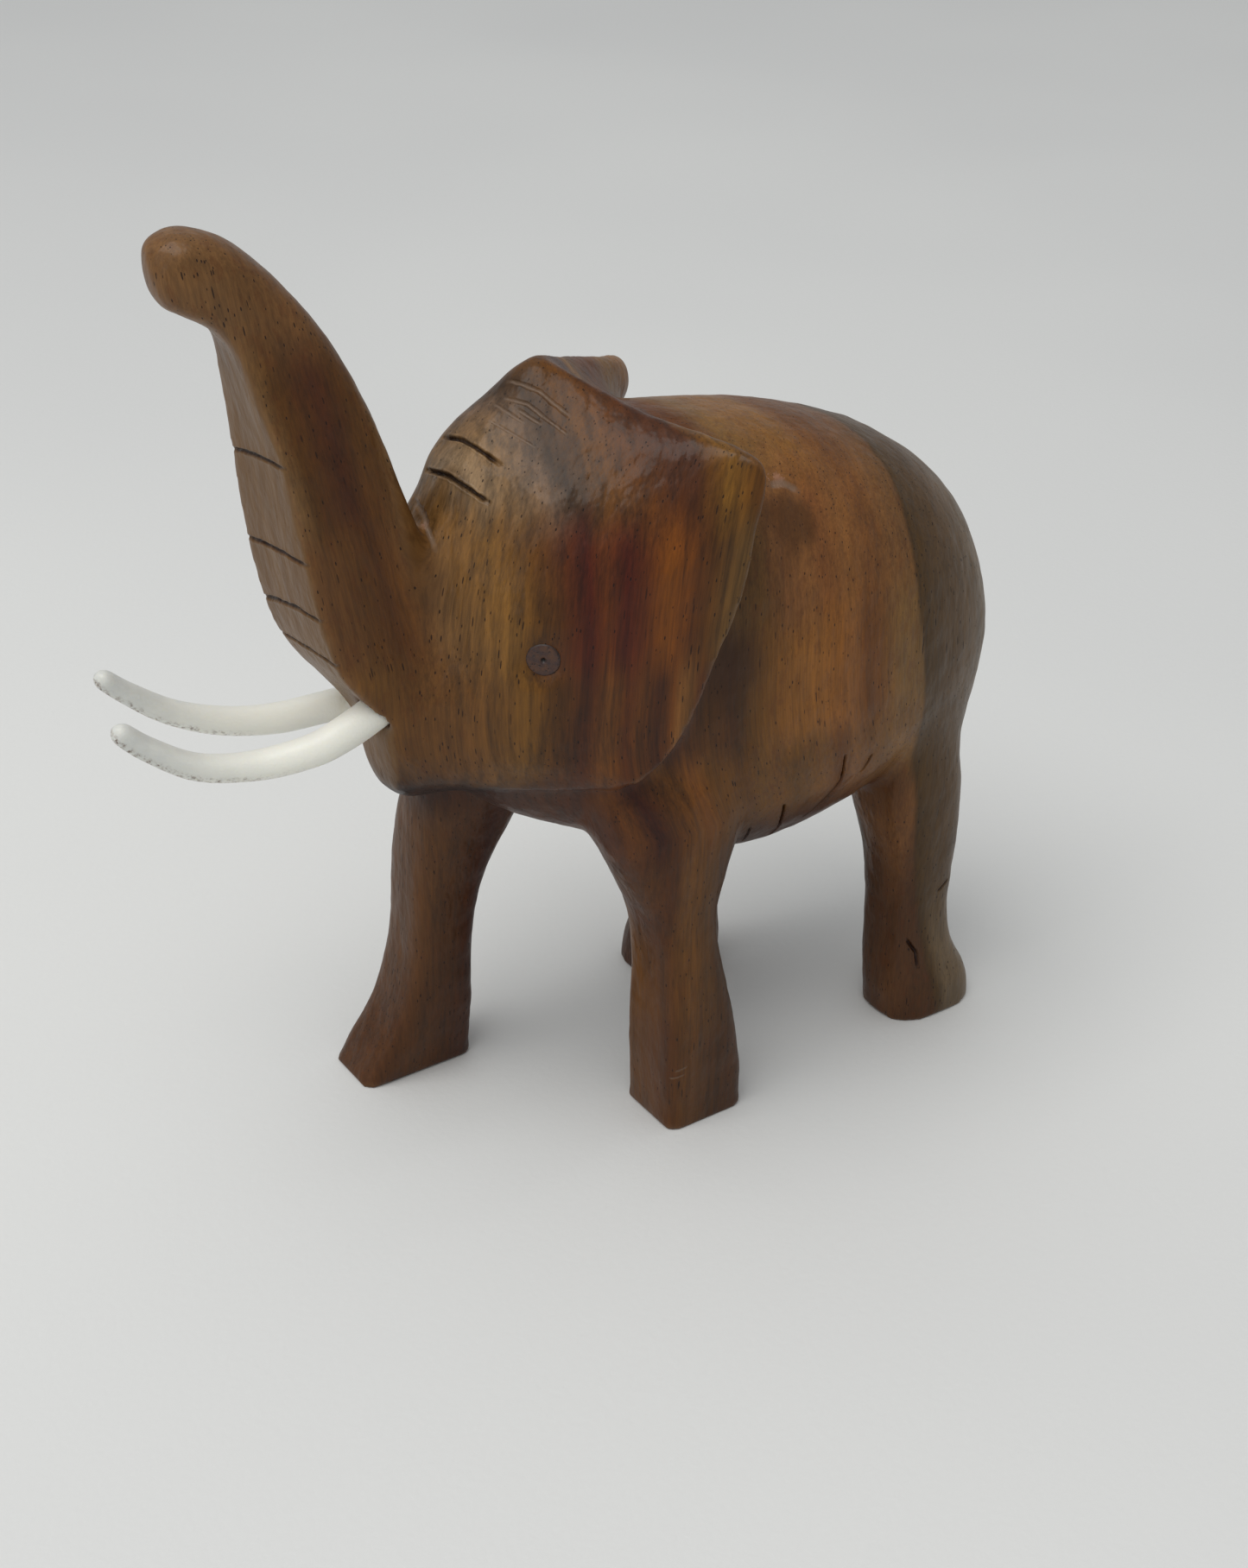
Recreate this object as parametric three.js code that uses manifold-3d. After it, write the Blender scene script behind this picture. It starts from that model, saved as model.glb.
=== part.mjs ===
// Carved wooden elephant with a raised trunk, two pressed-in tusks and two inlaid eye plugs.
// Millimetres. +X is the way the body faces, +Y its left side, +Z up. The feet stand on z = 0.

import * as THREE from 'three';
import { mergeVertices } from 'three/addons/utils/BufferGeometryUtils.js';
import Module from 'manifold-3d';

const wasm = await Module();
wasm.setup();

// ---- driving dimensions -------------------------------------------------------------------

const LEFT = 1;
const RIGHT = -1;
const NECK_X = 15;            // the head turns about a vertical line here
const HEAD_TURN = -10;        // degrees, towards the elephant's right
const FIT_GAP = 0.3;          // clearance round every inset piece
const TUSK_RADIUS = 2.3;      // at the socket
const TUSK_TIP_RADIUS = 1.3;
const TUSK_TAPER_POWER = 1.8;
const TUSK_ROUNDING_START = 0.97;
const TUSK_STEPS = 22;
const EYE_RADIUS = 2.4;
const EYE_DEPTH = 3;          // depth of the drilled recess
const EYE_PROUD = 0.3;        // the plug's dome stands this far out of its mouth
const EYE_X = 28.2;           // the eye's mouth, with the head facing straight ahead
const EYE_Y = 17.9;
const EYE_Z = 78;
const EYE_YAW = THREE.MathUtils.degToRad(31);
const EAR_DROOP = 2.2;        // the right ear's corner, against the left's
const EAR_SET_BACK = 1.8;
const TAIL_RELIEF = 1.6;      // the tail is carved in low relief on the rump
const CORNER_STEPS = 4;       // facets round each corner of a squarish section

// ---- small helpers ------------------------------------------------------------------------

// Smooth values between hand-set stations: every named property runs through a Catmull-Rom curve.
function between(stations, steps) {
  const names = Object.keys(stations[0]);
  const last = stations.length - 1;
  const result = [];
  for (let i = 0; i <= steps; i += 1) {
    const at = (i / steps) * last;
    const k = Math.min(Math.floor(at), last - 1);
    const t = at - k;
    const point = {};
    for (const name of names) {
      const p1 = stations[k][name];
      const p2 = stations[k + 1][name];
      const p0 = k > 0 ? stations[k - 1][name] : 2 * p1 - p2;
      const p3 = k + 2 <= last ? stations[k + 2][name] : 2 * p2 - p1;
      const a = 2 * p1;
      const b = p2 - p0;
      const c = 2 * p0 - 5 * p1 + 4 * p2 - p3;
      const d = 3 * p1 - p0 - 3 * p2 + p3;
      point[name] = 0.5 * (a + b * t + c * t * t + d * t * t * t);
    }
    result.push(point);
  }
  return result;
}

// A ring of unit half-width: power 2 is a circle, higher powers are squarer.
function ovalRing(count, power) {
  const points = [];
  for (let i = 0; i < count; i += 1) {
    const angle = ((i + 0.5) / count) * 2 * Math.PI;
    const c = Math.cos(angle);
    const s = Math.sin(angle);
    const u = Math.sign(c) * Math.abs(c) ** (2 / power);
    const v = Math.sign(s) * Math.abs(s) ** (2 / power);
    points.push([u, v]);
  }
  return points;
}

// A square ring of unit half-width with arcs at its corners: round is the arcs' radius on the
// front side (+u) and backRound on the back side, each from 0.05 to 0.9.
function squareRing(round, backRound = round) {
  const points = [];
  for (let corner = 0; corner < 4; corner += 1) {
    const turn = (corner * Math.PI) / 2;
    const c = Math.round(Math.cos(turn));
    const s = Math.round(Math.sin(turn));
    const arc = corner === 0 || corner === 3 ? round : backRound;
    const flat = 1 - arc;
    const own = [[1, 0]];
    for (let k = 0; k <= CORNER_STEPS; k += 1) {
      const angle = (k / CORNER_STEPS) * (Math.PI / 2);
      own.push([flat + arc * Math.cos(angle), flat + arc * Math.sin(angle)]);
    }
    for (const [u, v] of own) points.push([c * u - s * v, s * u + c * v]);
  }
  return points;
}

// A closed body through rings of equal point count, with a fan over each end.
function loft(rings) {
  const count = rings[0].length;
  const positions = [];
  const index = [];
  for (const ring of rings) {
    for (const p of ring) positions.push(p.x, p.y, p.z);
  }
  for (let r = 0; r + 1 < rings.length; r += 1) {
    for (let i = 0; i < count; i += 1) {
      const j = (i + 1) % count;
      const a = r * count + i;
      const b = r * count + j;
      index.push(a, b, b + count, a, b + count, a + count);
    }
  }
  for (const end of [0, rings.length - 1]) {
    const centre = new THREE.Vector3();
    for (const p of rings[end]) centre.add(p);
    centre.divideScalar(count);
    const hub = positions.length / 3;
    positions.push(centre.x, centre.y, centre.z);
    for (let i = 0; i < count; i += 1) {
      const a = end * count + i;
      const b = end * count + ((i + 1) % count);
      if (end === 0) index.push(hub, b, a);
      else index.push(hub, a, b);
    }
  }
  const geometry = new THREE.BufferGeometry();
  geometry.setAttribute('position', new THREE.Float32BufferAttribute(positions, 3));
  geometry.setIndex(index);
  return geometry;
}

// Turns a geometry inside out when its faces point inwards.
function facingOut(geometry) {
  const p = geometry.getAttribute('position');
  const index = geometry.getIndex();
  let volume = 0;
  const a = new THREE.Vector3();
  const b = new THREE.Vector3();
  const c = new THREE.Vector3();
  for (let i = 0; i < index.count; i += 3) {
    a.fromBufferAttribute(p, index.getX(i));
    b.fromBufferAttribute(p, index.getX(i + 1));
    c.fromBufferAttribute(p, index.getX(i + 2));
    volume += a.dot(b.cross(c));
  }
  if (volume < 0) {
    for (let i = 0; i < index.count; i += 3) {
      const first = index.getX(i);
      index.setX(i, index.getX(i + 1));
      index.setX(i + 1, first);
    }
  }
  return geometry;
}

function solid(geometry) {
  const bare = geometry.clone();
  bare.deleteAttribute('normal');
  bare.deleteAttribute('uv');
  const merged = facingOut(mergeVertices(bare, 1e-4));
  return new wasm.Manifold(new wasm.Mesh({
    numProp: 3,
    vertProperties: new Float32Array(merged.getAttribute('position').array),
    triVerts: new Uint32Array(merged.getIndex().array),
  }));
}

function geometryOf(manifold) {
  const mesh = manifold.getMesh();
  const geometry = new THREE.BufferGeometry();
  geometry.setAttribute('position', new THREE.BufferAttribute(new Float32Array(mesh.vertProperties), 3));
  geometry.setIndex(new THREE.BufferAttribute(new Uint32Array(mesh.triVerts), 1));
  return geometry;
}

// Head pieces are drawn facing straight ahead and then turned about the neck.
const headPose = new THREE.Matrix4()
  .makeTranslation(NECK_X, 0, 0)
  .multiply(new THREE.Matrix4().makeRotationZ(THREE.MathUtils.degToRad(HEAD_TURN)))
  .multiply(new THREE.Matrix4().makeTranslation(-NECK_X, 0, 0));

function turned(geometry) {
  return geometry.clone().applyMatrix4(headPose);
}

// ---- torso: upright sections along the spine -------------------------------------------------

function torso() {
  const stations = [
    { x: -45.6, top: 66, bottom: 41, half: 8, power: 2 },
    { x: -43.6, top: 76.5, bottom: 39, half: 13.5, power: 2.1 },
    { x: -39.5, top: 84, bottom: 39.5, half: 17.8, power: 2.2 },
    { x: -30, top: 91, bottom: 39.5, half: 21, power: 2.3 },
    { x: -17, top: 96, bottom: 35.8, half: 22.3, power: 2.3 },
    { x: -4, top: 99, bottom: 34.8, half: 22, power: 2.3 },
    { x: 8, top: 100.5, bottom: 38, half: 20.5, power: 2.3 },
    { x: 19, top: 98, bottom: 44, half: 17, power: 2.3 },
    { x: 29, top: 86, bottom: 49.5, half: 12, power: 2.2 },
    { x: 36, top: 76, bottom: 55, half: 7, power: 2 },
  ];
  const rings = between(stations, 27).map((s) => {
    const middle = (s.top + s.bottom) / 2;
    const rise = (s.top - s.bottom) / 2;
    return ovalRing(28, s.power).map(([u, v]) => (
      new THREE.Vector3(s.x, u * s.half, middle + v * rise)));
  });
  return loft(rings);
}

// ---- legs: level sections from the sole up into the body --------------------------------------

function leg(stations) {
  const rings = between(stations, 14).map((s) => (
    squareRing(s.round).map(([u, v]) => (
      new THREE.Vector3(s.x + u * s.long, s.y + v * s.wide, s.z)))));
  return loft(rings);
}

function legs() {
  const frontLeft = leg([
    { z: 0, x: 6.6, y: 13.7, long: 6.4, wide: 5.7, round: 0.25 },
    { z: 7, x: 6.8, y: 13.8, long: 6.5, wide: 5.8, round: 0.25 },
    { z: 16, x: 7.7, y: 14, long: 5.8, wide: 5.9, round: 0.3 },
    { z: 25, x: 8.6, y: 13.8, long: 4.9, wide: 5.6, round: 0.4 },
    { z: 34, x: 9.6, y: 13.2, long: 5.3, wide: 5.8, round: 0.6 },
    { z: 43, x: 9.8, y: 12.4, long: 8.9, wide: 7.4, round: 0.75 },
    { z: 53, x: 9.5, y: 11, long: 13, wide: 8.8, round: 0.85 },
    { z: 63, x: 8, y: 9, long: 11, wide: 8, round: 0.85 },
  ]);
  const frontRight = leg([
    { z: 0, x: 35.1, y: -17.6, long: 9, wide: 5.3, round: 0.3 },
    { z: 4, x: 34.2, y: -17.2, long: 8, wide: 5.4, round: 0.3 },
    { z: 10, x: 32.4, y: -16.4, long: 6.2, wide: 5.5, round: 0.35 },
    { z: 20, x: 31.2, y: -15.4, long: 4.9, wide: 5.3, round: 0.45 },
    { z: 31, x: 30.2, y: -14.7, long: 5.6, wide: 5.7, round: 0.6 },
    { z: 42, x: 27.4, y: -13.2, long: 8, wide: 7, round: 0.75 },
    { z: 53, x: 23, y: -10, long: 11, wide: 8, round: 0.85 },
    { z: 63, x: 19, y: -7, long: 10, wide: 7, round: 0.85 },
  ]);
  const rearLeft = leg([
    { z: 0, x: -38.2, y: 12, long: 8, wide: 6.2, round: 0.75 },
    { z: 5, x: -37.6, y: 11.8, long: 7.8, wide: 6.3, round: 0.75 },
    { z: 11, x: -36.3, y: 11.1, long: 6.1, wide: 5.8, round: 0.7 },
    { z: 18, x: -35.7, y: 10.8, long: 5.3, wide: 5.5, round: 0.65 },
    { z: 27, x: -35.4, y: 10.8, long: 5.9, wide: 6.2, round: 0.65 },
    { z: 38, x: -33.9, y: 10.4, long: 7.4, wide: 7.6, round: 0.75 },
    { z: 50, x: -32, y: 9.6, long: 8.6, wide: 9, round: 0.85 },
    { z: 62, x: -29, y: 8, long: 10.5, wide: 9, round: 0.85 },
  ]);
  const rearRight = leg([
    { z: 0, x: -12.7, y: -17.4, long: 7.2, wide: 6.3, round: 0.7 },
    { z: 5, x: -12.8, y: -17, long: 6.8, wide: 6.3, round: 0.7 },
    { z: 11, x: -13.3, y: -16.2, long: 5.3, wide: 5.5, round: 0.65 },
    { z: 18, x: -13.9, y: -15.4, long: 4.7, wide: 5, round: 0.65 },
    { z: 27, x: -16, y: -14.2, long: 5.3, wide: 5.6, round: 0.65 },
    { z: 38, x: -21.6, y: -12.6, long: 8.3, wide: 7.6, round: 0.75 },
    { z: 50, x: -25.6, y: -10.6, long: 11, wide: 9.2, round: 0.85 },
    { z: 62, x: -27, y: -8, long: 10.5, wide: 8.5, round: 0.85 },
  ]);
  return [frontLeft, frontRight, rearLeft, rearRight];
}

// ---- head and ears: level sections from the chin up to the crown -------------------------------
// Each section runs from the front middle, round the front corner, back along the cheek to the
// rear edge of the ear, across the ear's thickness and in along the hollow behind it.

// Mirrors a point to the right side, where the ear's upper corner hangs a little lower and further back.
function drooped(p) {
  const outwards = THREE.MathUtils.smoothstep(p.y, 10, 21);
  const share = outwards * THREE.MathUtils.smoothstep(p.z, 90, 99);
  return new THREE.Vector3(p.x - EAR_SET_BACK * share, -p.y, p.z - EAR_DROOP * share);
}

function headSection(s) {
  const at = (x, y) => new THREE.Vector3(x, y, s.z);
  const cheek = new THREE.CatmullRomCurve3([
    at(s.frontX, s.frontY),
    at(s.cheekX, s.cheekY),
    at(s.templeX, s.templeY),
    at(s.earX, s.earY),
  ]).getPoints(9);
  const hollow = new THREE.CatmullRomCurve3([
    at(s.innerX, s.innerY),
    at(s.hollowX, s.hollowY),
    at(s.napeX, 0),
  ]).getPoints(5);
  hollow.pop();
  const left = [...cheek, ...hollow];
  const right = left.map(drooped).reverse();
  return [at(s.frontX + s.keel, 0), ...left, at(s.napeX, 0), ...right];
}

function head() {
  const stations = [
    { z: 53, keel: 0.4, frontX: 40.8, frontY: 2, cheekX: 35.4, cheekY: 3, templeX: 27, templeY: 4,
      earX: 18, earY: 5, innerX: 15.5, innerY: 4, hollowX: 14, hollowY: 3, napeX: 13 },
    { z: 55, keel: 1.2, frontX: 42.8, frontY: 4.4, cheekX: 36.2, cheekY: 5, templeX: 28, templeY: 6,
      earX: 18.2, earY: 7.4, innerX: 15, innerY: 6, hollowX: 13, hollowY: 4, napeX: 12 },
    { z: 57.2, keel: 1.6, frontX: 43.6, frontY: 5.8, cheekX: 37.4, cheekY: 8.6, templeX: 29.2, templeY: 12.8,
      earX: 18.4, earY: 17, innerX: 14.2, innerY: 13.6, hollowX: 11, hollowY: 7, napeX: 9 },
    { z: 60, keel: 1.5, frontX: 44.4, frontY: 6.4, cheekX: 38.4, cheekY: 10.4, templeX: 30, templeY: 15,
      earX: 16.4, earY: 21.2, innerX: 13, innerY: 17.6, hollowX: 10, hollowY: 8, napeX: 8 },
    { z: 64, keel: 1, frontX: 45, frontY: 7.4, cheekX: 39.2, cheekY: 11, templeX: 30.5, templeY: 17,
      earX: 12.7, earY: 22.3, innerX: 10, innerY: 18.5, hollowX: 8, hollowY: 9, napeX: 7 },
    { z: 70, keel: 0, frontX: 45.4, frontY: 8, cheekX: 38.8, cheekY: 11.2, templeX: 30.2, templeY: 18.2,
      earX: 10, earY: 23.4, innerX: 8, innerY: 19.5, hollowX: 8, hollowY: 9, napeX: 7 },
    { z: 77, keel: 0, frontX: 42, frontY: 6, cheekX: 37, cheekY: 10, templeX: 29, templeY: 18.8,
      earX: 7.6, earY: 24, innerX: 6, innerY: 20.4, hollowX: 8, hollowY: 9, napeX: 7 },
    { z: 84, keel: 0, frontX: 39.2, frontY: 4.6, cheekX: 35.6, cheekY: 9.8, templeX: 27.5, templeY: 18.4,
      earX: 5, earY: 24.6, innerX: 3.6, innerY: 20.8, hollowX: 8, hollowY: 9, napeX: 8 },
    { z: 90, keel: 0, frontX: 38.4, frontY: 4.2, cheekX: 33.6, cheekY: 9.6, templeX: 25.5, templeY: 17.4,
      earX: 3.8, earY: 24.8, innerX: 2.6, innerY: 20.8, hollowX: 7, hollowY: 10, napeX: 6 },
    { z: 94, keel: 0, frontX: 36.4, frontY: 3.2, cheekX: 31.9, cheekY: 9, templeX: 23.8, templeY: 16.2,
      earX: 3, earY: 24.6, innerX: 1.9, innerY: 20.6, hollowX: 7, hollowY: 10, napeX: 5 },
    { z: 97.5, keel: 0, frontX: 35, frontY: 3.6, cheekX: 30.4, cheekY: 8.4, templeX: 22.3, templeY: 14.6,
      earX: 2, earY: 24.4, innerX: 1.2, innerY: 20.4, hollowX: 7.2, hollowY: 9.4, napeX: 5.6 },
    { z: 101, keel: 0, frontX: 32, frontY: 3.6, cheekX: 27.2, cheekY: 7.2, templeX: 20.5, templeY: 12,
      earX: 1.8, earY: 23.8, innerX: 1.4, innerY: 20.4, hollowX: 8.8, hollowY: 8.4, napeX: 8 },
    { z: 102.8, keel: 0, frontX: 30.2, frontY: 3, cheekX: 26, cheekY: 6.2, templeX: 20.1, templeY: 10.4,
      earX: 4.6, earY: 20.8, innerX: 4.2, innerY: 17.8, hollowX: 10.8, hollowY: 7, napeX: 11.2 },
    { z: 105, keel: 0, frontX: 27.6, frontY: 2.2, cheekX: 24.6, cheekY: 4.8, templeX: 19.6, templeY: 8,
      earX: 12.4, earY: 11.5, innerX: 12, innerY: 9.4, hollowX: 14.2, hollowY: 4, napeX: 15.2 },
    { z: 109.6, keel: 0, frontX: 23.2, frontY: 0.8, cheekX: 22.5, cheekY: 1, templeX: 21.6, templeY: 1,
      earX: 20.8, earY: 1, innerX: 20.6, innerY: 0.8, hollowX: 20.4, hollowY: 0.5, napeX: 20.3 },
  ];
  return turned(loft(between(stations, 42).map(headSection)));
}

// ---- trunk: squarish sections set by their front and back edges, twisted a little to its left -----

function trunk() {
  const stations = [
    { frontX: 43, frontZ: 60.5, backX: 31, backZ: 63.5, wide: 5.6, round: 0.3, back: 0.5, twist: 12 },
    { frontX: 47.6, frontZ: 68.6, backX: 34.5, backZ: 75.4, wide: 7.8, round: 0.15, back: 0.35, twist: 12 },
    { frontX: 52.8, frontZ: 76, backX: 37, backZ: 84.5, wide: 8.2, round: 0.08, back: 0.3, twist: 12 },
    { frontX: 55.1, frontZ: 83.6, backX: 39.4, backZ: 90, wide: 8.1, round: 0.07, back: 0.25, twist: 12 },
    { frontX: 56.4, frontZ: 92, backX: 41.3, backZ: 95.6, wide: 7.9, round: 0.07, back: 0.25, twist: 12 },
    { frontX: 57.7, frontZ: 103, backX: 44.3, backZ: 105.8, wide: 7, round: 0.08, back: 0.35, twist: 12 },
    { frontX: 59, frontZ: 110.5, backX: 47.6, backZ: 114.4, wide: 6.1, round: 0.14, back: 0.5, twist: 7 },
    { frontX: 60.4, frontZ: 116.9, backX: 52.3, backZ: 121.8, wide: 5.2, round: 0.35, back: 0.6, twist: 4 },
    { frontX: 63.6, frontZ: 120.2, backX: 58.3, backZ: 128, wide: 4.9, round: 0.6, back: 0.65, twist: 0 },
    { frontX: 65.9, frontZ: 121.1, backX: 64.5, backZ: 130.4, wide: 4.7, round: 0.7, back: 0.7, twist: 0 },
    { frontX: 67.9, frontZ: 122.8, backX: 68.5, backZ: 128.9, wide: 3, round: 0.85, back: 0.85, twist: 0 },
  ];
  const rings = between(stations, 40).map((s) => {
    const front = new THREE.Vector3(s.frontX, 0, s.frontZ);
    const back = new THREE.Vector3(s.backX, 0, s.backZ);
    const centre = front.clone().add(back).divideScalar(2);
    const twist = new THREE.Matrix4().makeRotationZ(THREE.MathUtils.degToRad(s.twist));
    const forwards = front.clone().sub(centre).applyMatrix4(twist);
    const sideways = new THREE.Vector3(0, s.wide, 0).applyMatrix4(twist);
    return squareRing(s.round, s.back).map(([u, v]) => (
      centre.clone().addScaledVector(forwards, u).addScaledVector(sideways, v)));
  });
  return turned(loft(rings));
}

// ---- tail: a low strip down the middle of the rump ----------------------------------------------

function tail() {
  const path = new THREE.CatmullRomCurve3([
    new THREE.Vector3(-42, 0, 79.5),
    new THREE.Vector3(-46.8, 0.2, 69),
    new THREE.Vector3(-48, 0.6, 57),
    new THREE.Vector3(-46, 1.2, 46),
    new THREE.Vector3(-40, 2, 38),
  ]);
  const outline = new THREE.Shape();
  outline.absellipse(0, 0, TAIL_RELIEF + 0.8, 1.9, 0, 2 * Math.PI);
  return new THREE.ExtrudeGeometry(outline, { steps: 12, curveSegments: 5, extrudePath: path });
}

// ---- tusks: tapered arcs whose roots sit in drilled sockets ---------------------------------------

function tuskRadius(t) {
  const taper = TUSK_RADIUS + (TUSK_TIP_RADIUS - TUSK_RADIUS) * t ** TUSK_TAPER_POWER;
  const nearTip = Math.max(0, (t - TUSK_ROUNDING_START) / (1 - TUSK_ROUNDING_START));
  return taper * Math.sqrt(1 - 0.85 * nearTip ** 2);
}

// The left rod was pressed in a little higher than the right one.
function tuskPath(side) {
  const left = [
    [36, 1.8, 71.4], [41, 3.6, 70.1], [46, 5.9, 68.7], [50.5, 7.3, 67.3], [55, 7.9, 66.1],
    [62, 7.5, 65.4], [69.2, 7.4, 66.7], [75, 7.3, 70.4], [78.8, 7.3, 74],
  ];
  const right = [
    [36, -4.4, 64.8], [41, -6.1, 64], [47, -7.5, 63.4], [55, -7.8, 62.9], [62, -7.8, 64],
    [68.5, -7.8, 66.6], [73.8, -7.8, 70.4], [77.4, -7.8, 73.7],
  ];
  const points = side === LEFT ? left : right;
  return new THREE.CatmullRomCurve3(points.map(([x, y, z]) => new THREE.Vector3(x, y, z)));
}

// The same rod, a little thicker and longer, cuts the socket.
function tusk(side, clearance = 0) {
  const path = tuskPath(side);
  const rings = [];
  for (let i = 0; i <= TUSK_STEPS; i += 1) {
    const t = Math.sin((i / TUSK_STEPS) * (Math.PI / 2));
    const centre = path.getPointAt(t);
    const along = path.getTangentAt(t);
    const across = new THREE.Vector3(-along.y, along.x, 0).normalize();
    const over = new THREE.Vector3().crossVectors(along, across);
    const radius = tuskRadius(t) + clearance;
    if (i === 0) centre.addScaledVector(along, -clearance);
    if (i === TUSK_STEPS) centre.addScaledVector(along, clearance);
    rings.push(ovalRing(12, 2).map(([u, v]) => (
      centre.clone()
        .addScaledVector(across, u * radius)
        .addScaledVector(over, v * radius))));
  }
  return turned(loft(rings));
}

// ---- eyes: short round plugs, domed outside, in drilled recesses -----------------------------------

function eyeTool(side, profile) {
  const outwards = new THREE.Vector3(Math.sin(EYE_YAW), side * Math.cos(EYE_YAW), 0);
  const upright = new THREE.Vector3(0, 1, 0);
  const pose = new THREE.Matrix4().compose(
    new THREE.Vector3(EYE_X, side * EYE_Y, EYE_Z),
    new THREE.Quaternion().setFromUnitVectors(upright, outwards),
    new THREE.Vector3(1, 1, 1));
  const outline = profile.map(([radius, depth]) => new THREE.Vector2(radius, depth));
  return turned(new THREE.LatheGeometry(outline, 24).applyMatrix4(pose));
}

function eyePlug(side) {
  return eyeTool(side, [
    [0, -EYE_DEPTH],
    [EYE_RADIUS, -EYE_DEPTH],
    [EYE_RADIUS, 0],
    [EYE_RADIUS * 0.85, EYE_PROUD * 0.6],
    [EYE_RADIUS * 0.5, EYE_PROUD * 0.9],
    [0, EYE_PROUD],
  ]);
}

function eyeRecess(side) {
  const radius = EYE_RADIUS + FIT_GAP;
  const depth = EYE_DEPTH + FIT_GAP;
  return eyeTool(side, [
    [0, -depth],
    [radius, -depth],
    [radius, EYE_DEPTH],
    [0, EYE_DEPTH],
  ]);
}

// ---- assembly ----------------------------------------------------------------------------------

function carvedBody() {
  let body = solid(torso());
  for (const part of [...legs(), head(), trunk(), tail()]) body = body.add(solid(part));
  for (const side of [LEFT, RIGHT]) {
    body = body.subtract(solid(tusk(side, FIT_GAP)));
    body = body.subtract(solid(eyeRecess(side)));
  }
  return geometryOf(body);
}

const elephant = new THREE.Group();

function place(name, geometry, color, roughness) {
  const material = new THREE.MeshStandardMaterial({ color, roughness, metalness: 0 });
  const mesh = new THREE.Mesh(geometry, material);
  mesh.name = name;
  elephant.add(mesh);
}

place('carved_body', carvedBody(), 0x6b3d20, 0.45);
place('tusk_left', tusk(LEFT), 0xe9e6d8, 0.4);
place('tusk_right', tusk(RIGHT), 0xe9e6d8, 0.4);
place('eye_left', eyePlug(LEFT), 0x3a2a22, 0.5);
place('eye_right', eyePlug(RIGHT), 0x3a2a22, 0.5);

// The origin is the middle of the footprint box, on the surface the feet stand on.
const box = new THREE.Box3().setFromObject(elephant);
const middle = box.getCenter(new THREE.Vector3());
elephant.position.set(-middle.x, -middle.y, -box.min.z);
elephant.updateMatrixWorld(true);

export default elephant;
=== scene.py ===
"""How a carved wooden elephant looks: a block of streaked wood, two tusks and two eye plugs.

The carving's measurements are in millimetres in the drawing frame: +X is the way the body faces, +Y its
left side, +Z up from the soles. Head features are drawn with the head facing straight ahead.
"""

import math

import bmesh
import bpy
import numpy as np
from mathutils import Matrix, Vector
from mathutils.bvhtree import BVHTree

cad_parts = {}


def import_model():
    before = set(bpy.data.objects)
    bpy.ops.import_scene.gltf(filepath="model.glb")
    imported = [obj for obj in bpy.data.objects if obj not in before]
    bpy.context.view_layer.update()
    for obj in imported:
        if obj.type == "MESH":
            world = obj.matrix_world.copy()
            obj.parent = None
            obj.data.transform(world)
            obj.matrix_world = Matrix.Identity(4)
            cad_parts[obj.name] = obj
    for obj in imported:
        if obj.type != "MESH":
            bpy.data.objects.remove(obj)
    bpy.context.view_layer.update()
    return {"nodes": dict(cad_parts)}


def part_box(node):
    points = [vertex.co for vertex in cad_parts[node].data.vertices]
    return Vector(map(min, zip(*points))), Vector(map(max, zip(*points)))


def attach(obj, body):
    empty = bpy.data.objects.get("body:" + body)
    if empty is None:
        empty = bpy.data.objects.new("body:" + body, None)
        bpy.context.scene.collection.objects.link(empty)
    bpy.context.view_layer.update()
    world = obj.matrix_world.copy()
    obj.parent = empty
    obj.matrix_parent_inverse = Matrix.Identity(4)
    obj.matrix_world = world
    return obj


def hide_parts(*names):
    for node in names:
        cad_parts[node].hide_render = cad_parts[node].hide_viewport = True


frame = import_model()

# ---- the drawing frame and the model's frame ------------------------------------------------------

MM = 0.001
RUMP_X = -49.85               # the rearmost point of the body in the drawing
NECK_X = 15.0                 # the head turns about a vertical line here
HEAD_TURN = math.radians(-10)
EYE_YAW = math.radians(31)
EYE_MOUTH = (28.2, 17.9, 78.0)
LEFT, RIGHT = 1, -1

# The drawing is moved until its rump meets the body's box and the eyes sit square to the turned head.
body_low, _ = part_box("carved_body")
eyes = [sum(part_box(name), Vector()) / 2 for name in ("eye_left", "eye_right")]
eye_middle = (eyes[0] + eyes[1]) / 2 / MM
SHIFT = np.array([body_low.x / MM - RUMP_X, 0.0, body_low.z / MM])
SHIFT[1] = eye_middle.y - math.tan(HEAD_TURN) * (eye_middle.x - SHIFT[0] - NECK_X)


def body_points(points):
    """Drawing millimetres to model metres."""
    return (np.atleast_2d(np.asarray(points, float)) + SHIFT) * MM


def turn(points, angle=HEAD_TURN):
    """Head drawing to body drawing, both in millimetres."""
    p = np.atleast_2d(np.asarray(points, float)).copy()
    c, s = math.cos(angle), math.sin(angle)
    x, y = p[:, 0] - NECK_X, p[:, 1].copy()
    p[:, 0] = NECK_X + c * x - s * y
    p[:, 1] = s * x + c * y
    return p


def unturn(points):
    """Body drawing to head drawing, both in millimetres."""
    return turn(points, -HEAD_TURN)


def head_points(points):
    """Head drawing millimetres to model metres."""
    return body_points(turn(points))


# ---- mesh helpers -------------------------------------------------------------------------------


def new_object(name, data):
    ob = bpy.data.objects.new(name, data)
    bpy.context.scene.collection.objects.link(ob)
    return ob


def mesh_from(name, verts, faces):
    mesh = bpy.data.meshes.new(name)
    mesh.from_pydata([tuple(v) for v in verts], [], [tuple(f) for f in faces])
    mesh.validate()
    mesh.update()
    return mesh


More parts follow.
